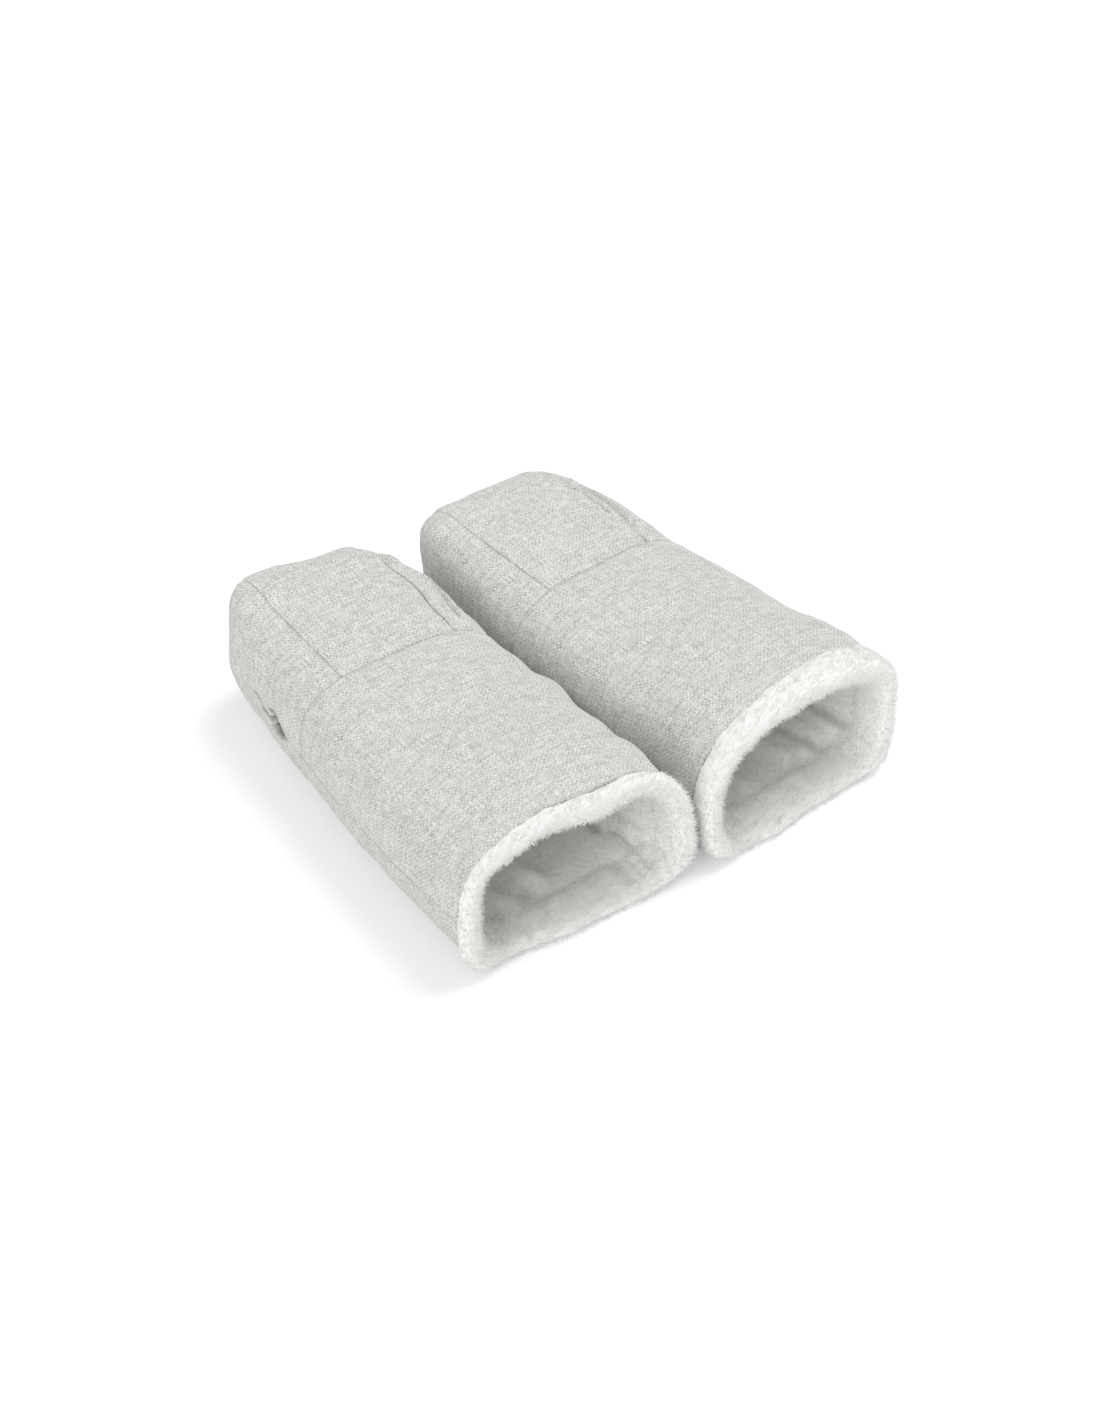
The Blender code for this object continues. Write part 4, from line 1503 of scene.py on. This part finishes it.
@dataclass
class Studio:
    """The camera, the pale floor and the soft light.

    Attributes:
        azimuth: the camera's direction round the object, in degrees.
        elevation: its height above the horizon, in degrees.
        distance: how far it is from what it looks at, in metres.
        target: what it looks at.
        focal_pixels: its focal length in pixels of the photograph.
        sensor: the width of its sensor in millimetres.
        near: how near it still sees, in metres.
        floor_size: the side of the floor in metres.
        floor_drop: how far the floor lies under the object.
        floor_color: the floor's colour.
        floor_glow: what the camera sees added to it, so that it reads white.
        sky_strength: how bright the even sky is.
        lamps: each lamp's name, where it shines from and its strength.
        lamp_breadth: how broad the lamps are, in degrees.
    """

    azimuth: float = -37.84
    elevation: float = 38.20
    distance: float = 1.6226
    target: Point = (0.0028, -0.0134, 0.030)
    focal_pixels: float = 2629.5
    sensor: float = 36.0
    near: float = 0.05
    floor_size: float = 12.0
    floor_drop: float = 0.2 * MM
    floor_color: Color = (0.85, 0.85, 0.85, 1.0)
    floor_glow: float = 0.33
    sky_strength: float = 0.50
    lamps: tuple[tuple[str, Point, float], ...] = (
        ("side_lamp", (-1.0, -0.45, 0.30), 1.25),
        ("top_lamp", (0.65, 0.0, 1.0), 1.6),
    )
    lamp_breadth: float = 40.0

    def set_camera(self) -> None:
        """Sets the camera at the photograph's viewing angle."""
        turn, lift = math.radians(self.azimuth), math.radians(self.elevation)
        away = Vector((math.sin(turn) * math.cos(lift), -math.cos(turn) * math.cos(lift), math.sin(lift)))
        lens = bpy.data.cameras.new("camera")
        lens.sensor_width = self.sensor
        lens.lens = self.focal_pixels * self.sensor / PHOTO_HEIGHT
        lens.clip_start = self.near
        camera = bpy.data.objects.new("camera", lens)
        camera.location = Vector(self.target) + away * self.distance
        camera.rotation_euler = away.to_track_quat("Z", "Y").to_euler()
        bpy.context.scene.collection.objects.link(camera)
        bpy.context.scene.camera = camera

    def lay_floor(self) -> None:
        """Lays the pale floor, which reads white, keeps the object's shadow and is clear from below."""
        bpy.ops.object.select_all(action="DESELECT")
        bpy.ops.mesh.primitive_plane_add(size=self.floor_size, location=(0.0, 0.0, -self.floor_drop))
        floor = bpy.context.active_object
        floor.name = "floor"
        material = bpy.data.materials.new("studio_floor")
        material.use_nodes = True
        graph = Graph(material.node_tree)
        material.node_tree.nodes.clear()
        matte = graph.add("ShaderNodeBsdfDiffuse", {"Color": self.floor_color}).outputs[0]
        glow = graph.add("ShaderNodeEmission", {"Strength": self.floor_glow}).outputs[0]
        black = graph.add("ShaderNodeEmission", {"Strength": 0.0}).outputs[0]
        lit = graph.add("ShaderNodeMixShader", {0: graph.seen(), 1: black, 2: glow}).outputs[0]
        top = graph.add("ShaderNodeAddShader", {0: matte, 1: lit}).outputs[0]
        under = graph.add("ShaderNodeBsdfTransparent").outputs[0]
        below = graph.add("ShaderNodeNewGeometry").outputs["Backfacing"]
        sides = graph.add("ShaderNodeMixShader", {0: below, 1: top, 2: under}).outputs[0]
        graph.add("ShaderNodeOutputMaterial", {"Surface": sides})
        floor.data.materials.append(material)

    def light(self) -> None:
        """Sets an even sky and two broad soft lamps, one low on the left and one high on the right."""
        world = bpy.data.worlds.new("studio")
        world.use_nodes = True
        bpy.context.scene.world = world
        graph = Graph(world.node_tree)
        world.node_tree.nodes.clear()
        strength = graph.ramp(graph.seen(), 0.0, 1.0, self.sky_strength, 1.0)
        sky = graph.add("ShaderNodeBackground", {"Color": (1.0, 1.0, 1.0, 1.0), "Strength": strength})
        graph.add("ShaderNodeOutputWorld", {"Surface": sky.outputs[0]})
        for name, from_where, energy in self.lamps:
            lamp = bpy.data.lights.new(name, "SUN")
            lamp.energy = energy
            lamp.angle = math.radians(self.lamp_breadth)
            holder = bpy.data.objects.new(name, lamp)
            holder.rotation_euler = Vector(from_where).to_track_quat("Z", "Y").to_euler()
            bpy.context.scene.collection.objects.link(holder)

    def build(self) -> None:
        """Sets camera, floor, lights and the plain view transform."""
        self.set_camera()
        self.lay_floor()
        self.light()
        bpy.context.scene.view_settings.view_transform = "Standard"


def main() -> None:
    """Loads the frame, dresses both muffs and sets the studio."""
    logging.basicConfig(level=logging.INFO, format="%(name)s: %(message)s")
    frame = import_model()
    finishes = make_finishes()
    joints = {joint["name"]: joint for joint in frame["joints"]}
    for name, form in (("left", LEFT_FORM), ("right", RIGHT_FORM)):
        Muff(name, joints[f"{name}_flap_hinge"], frame, finishes, form).build()
    Studio().build()


if __name__ == "__main__":
    main()
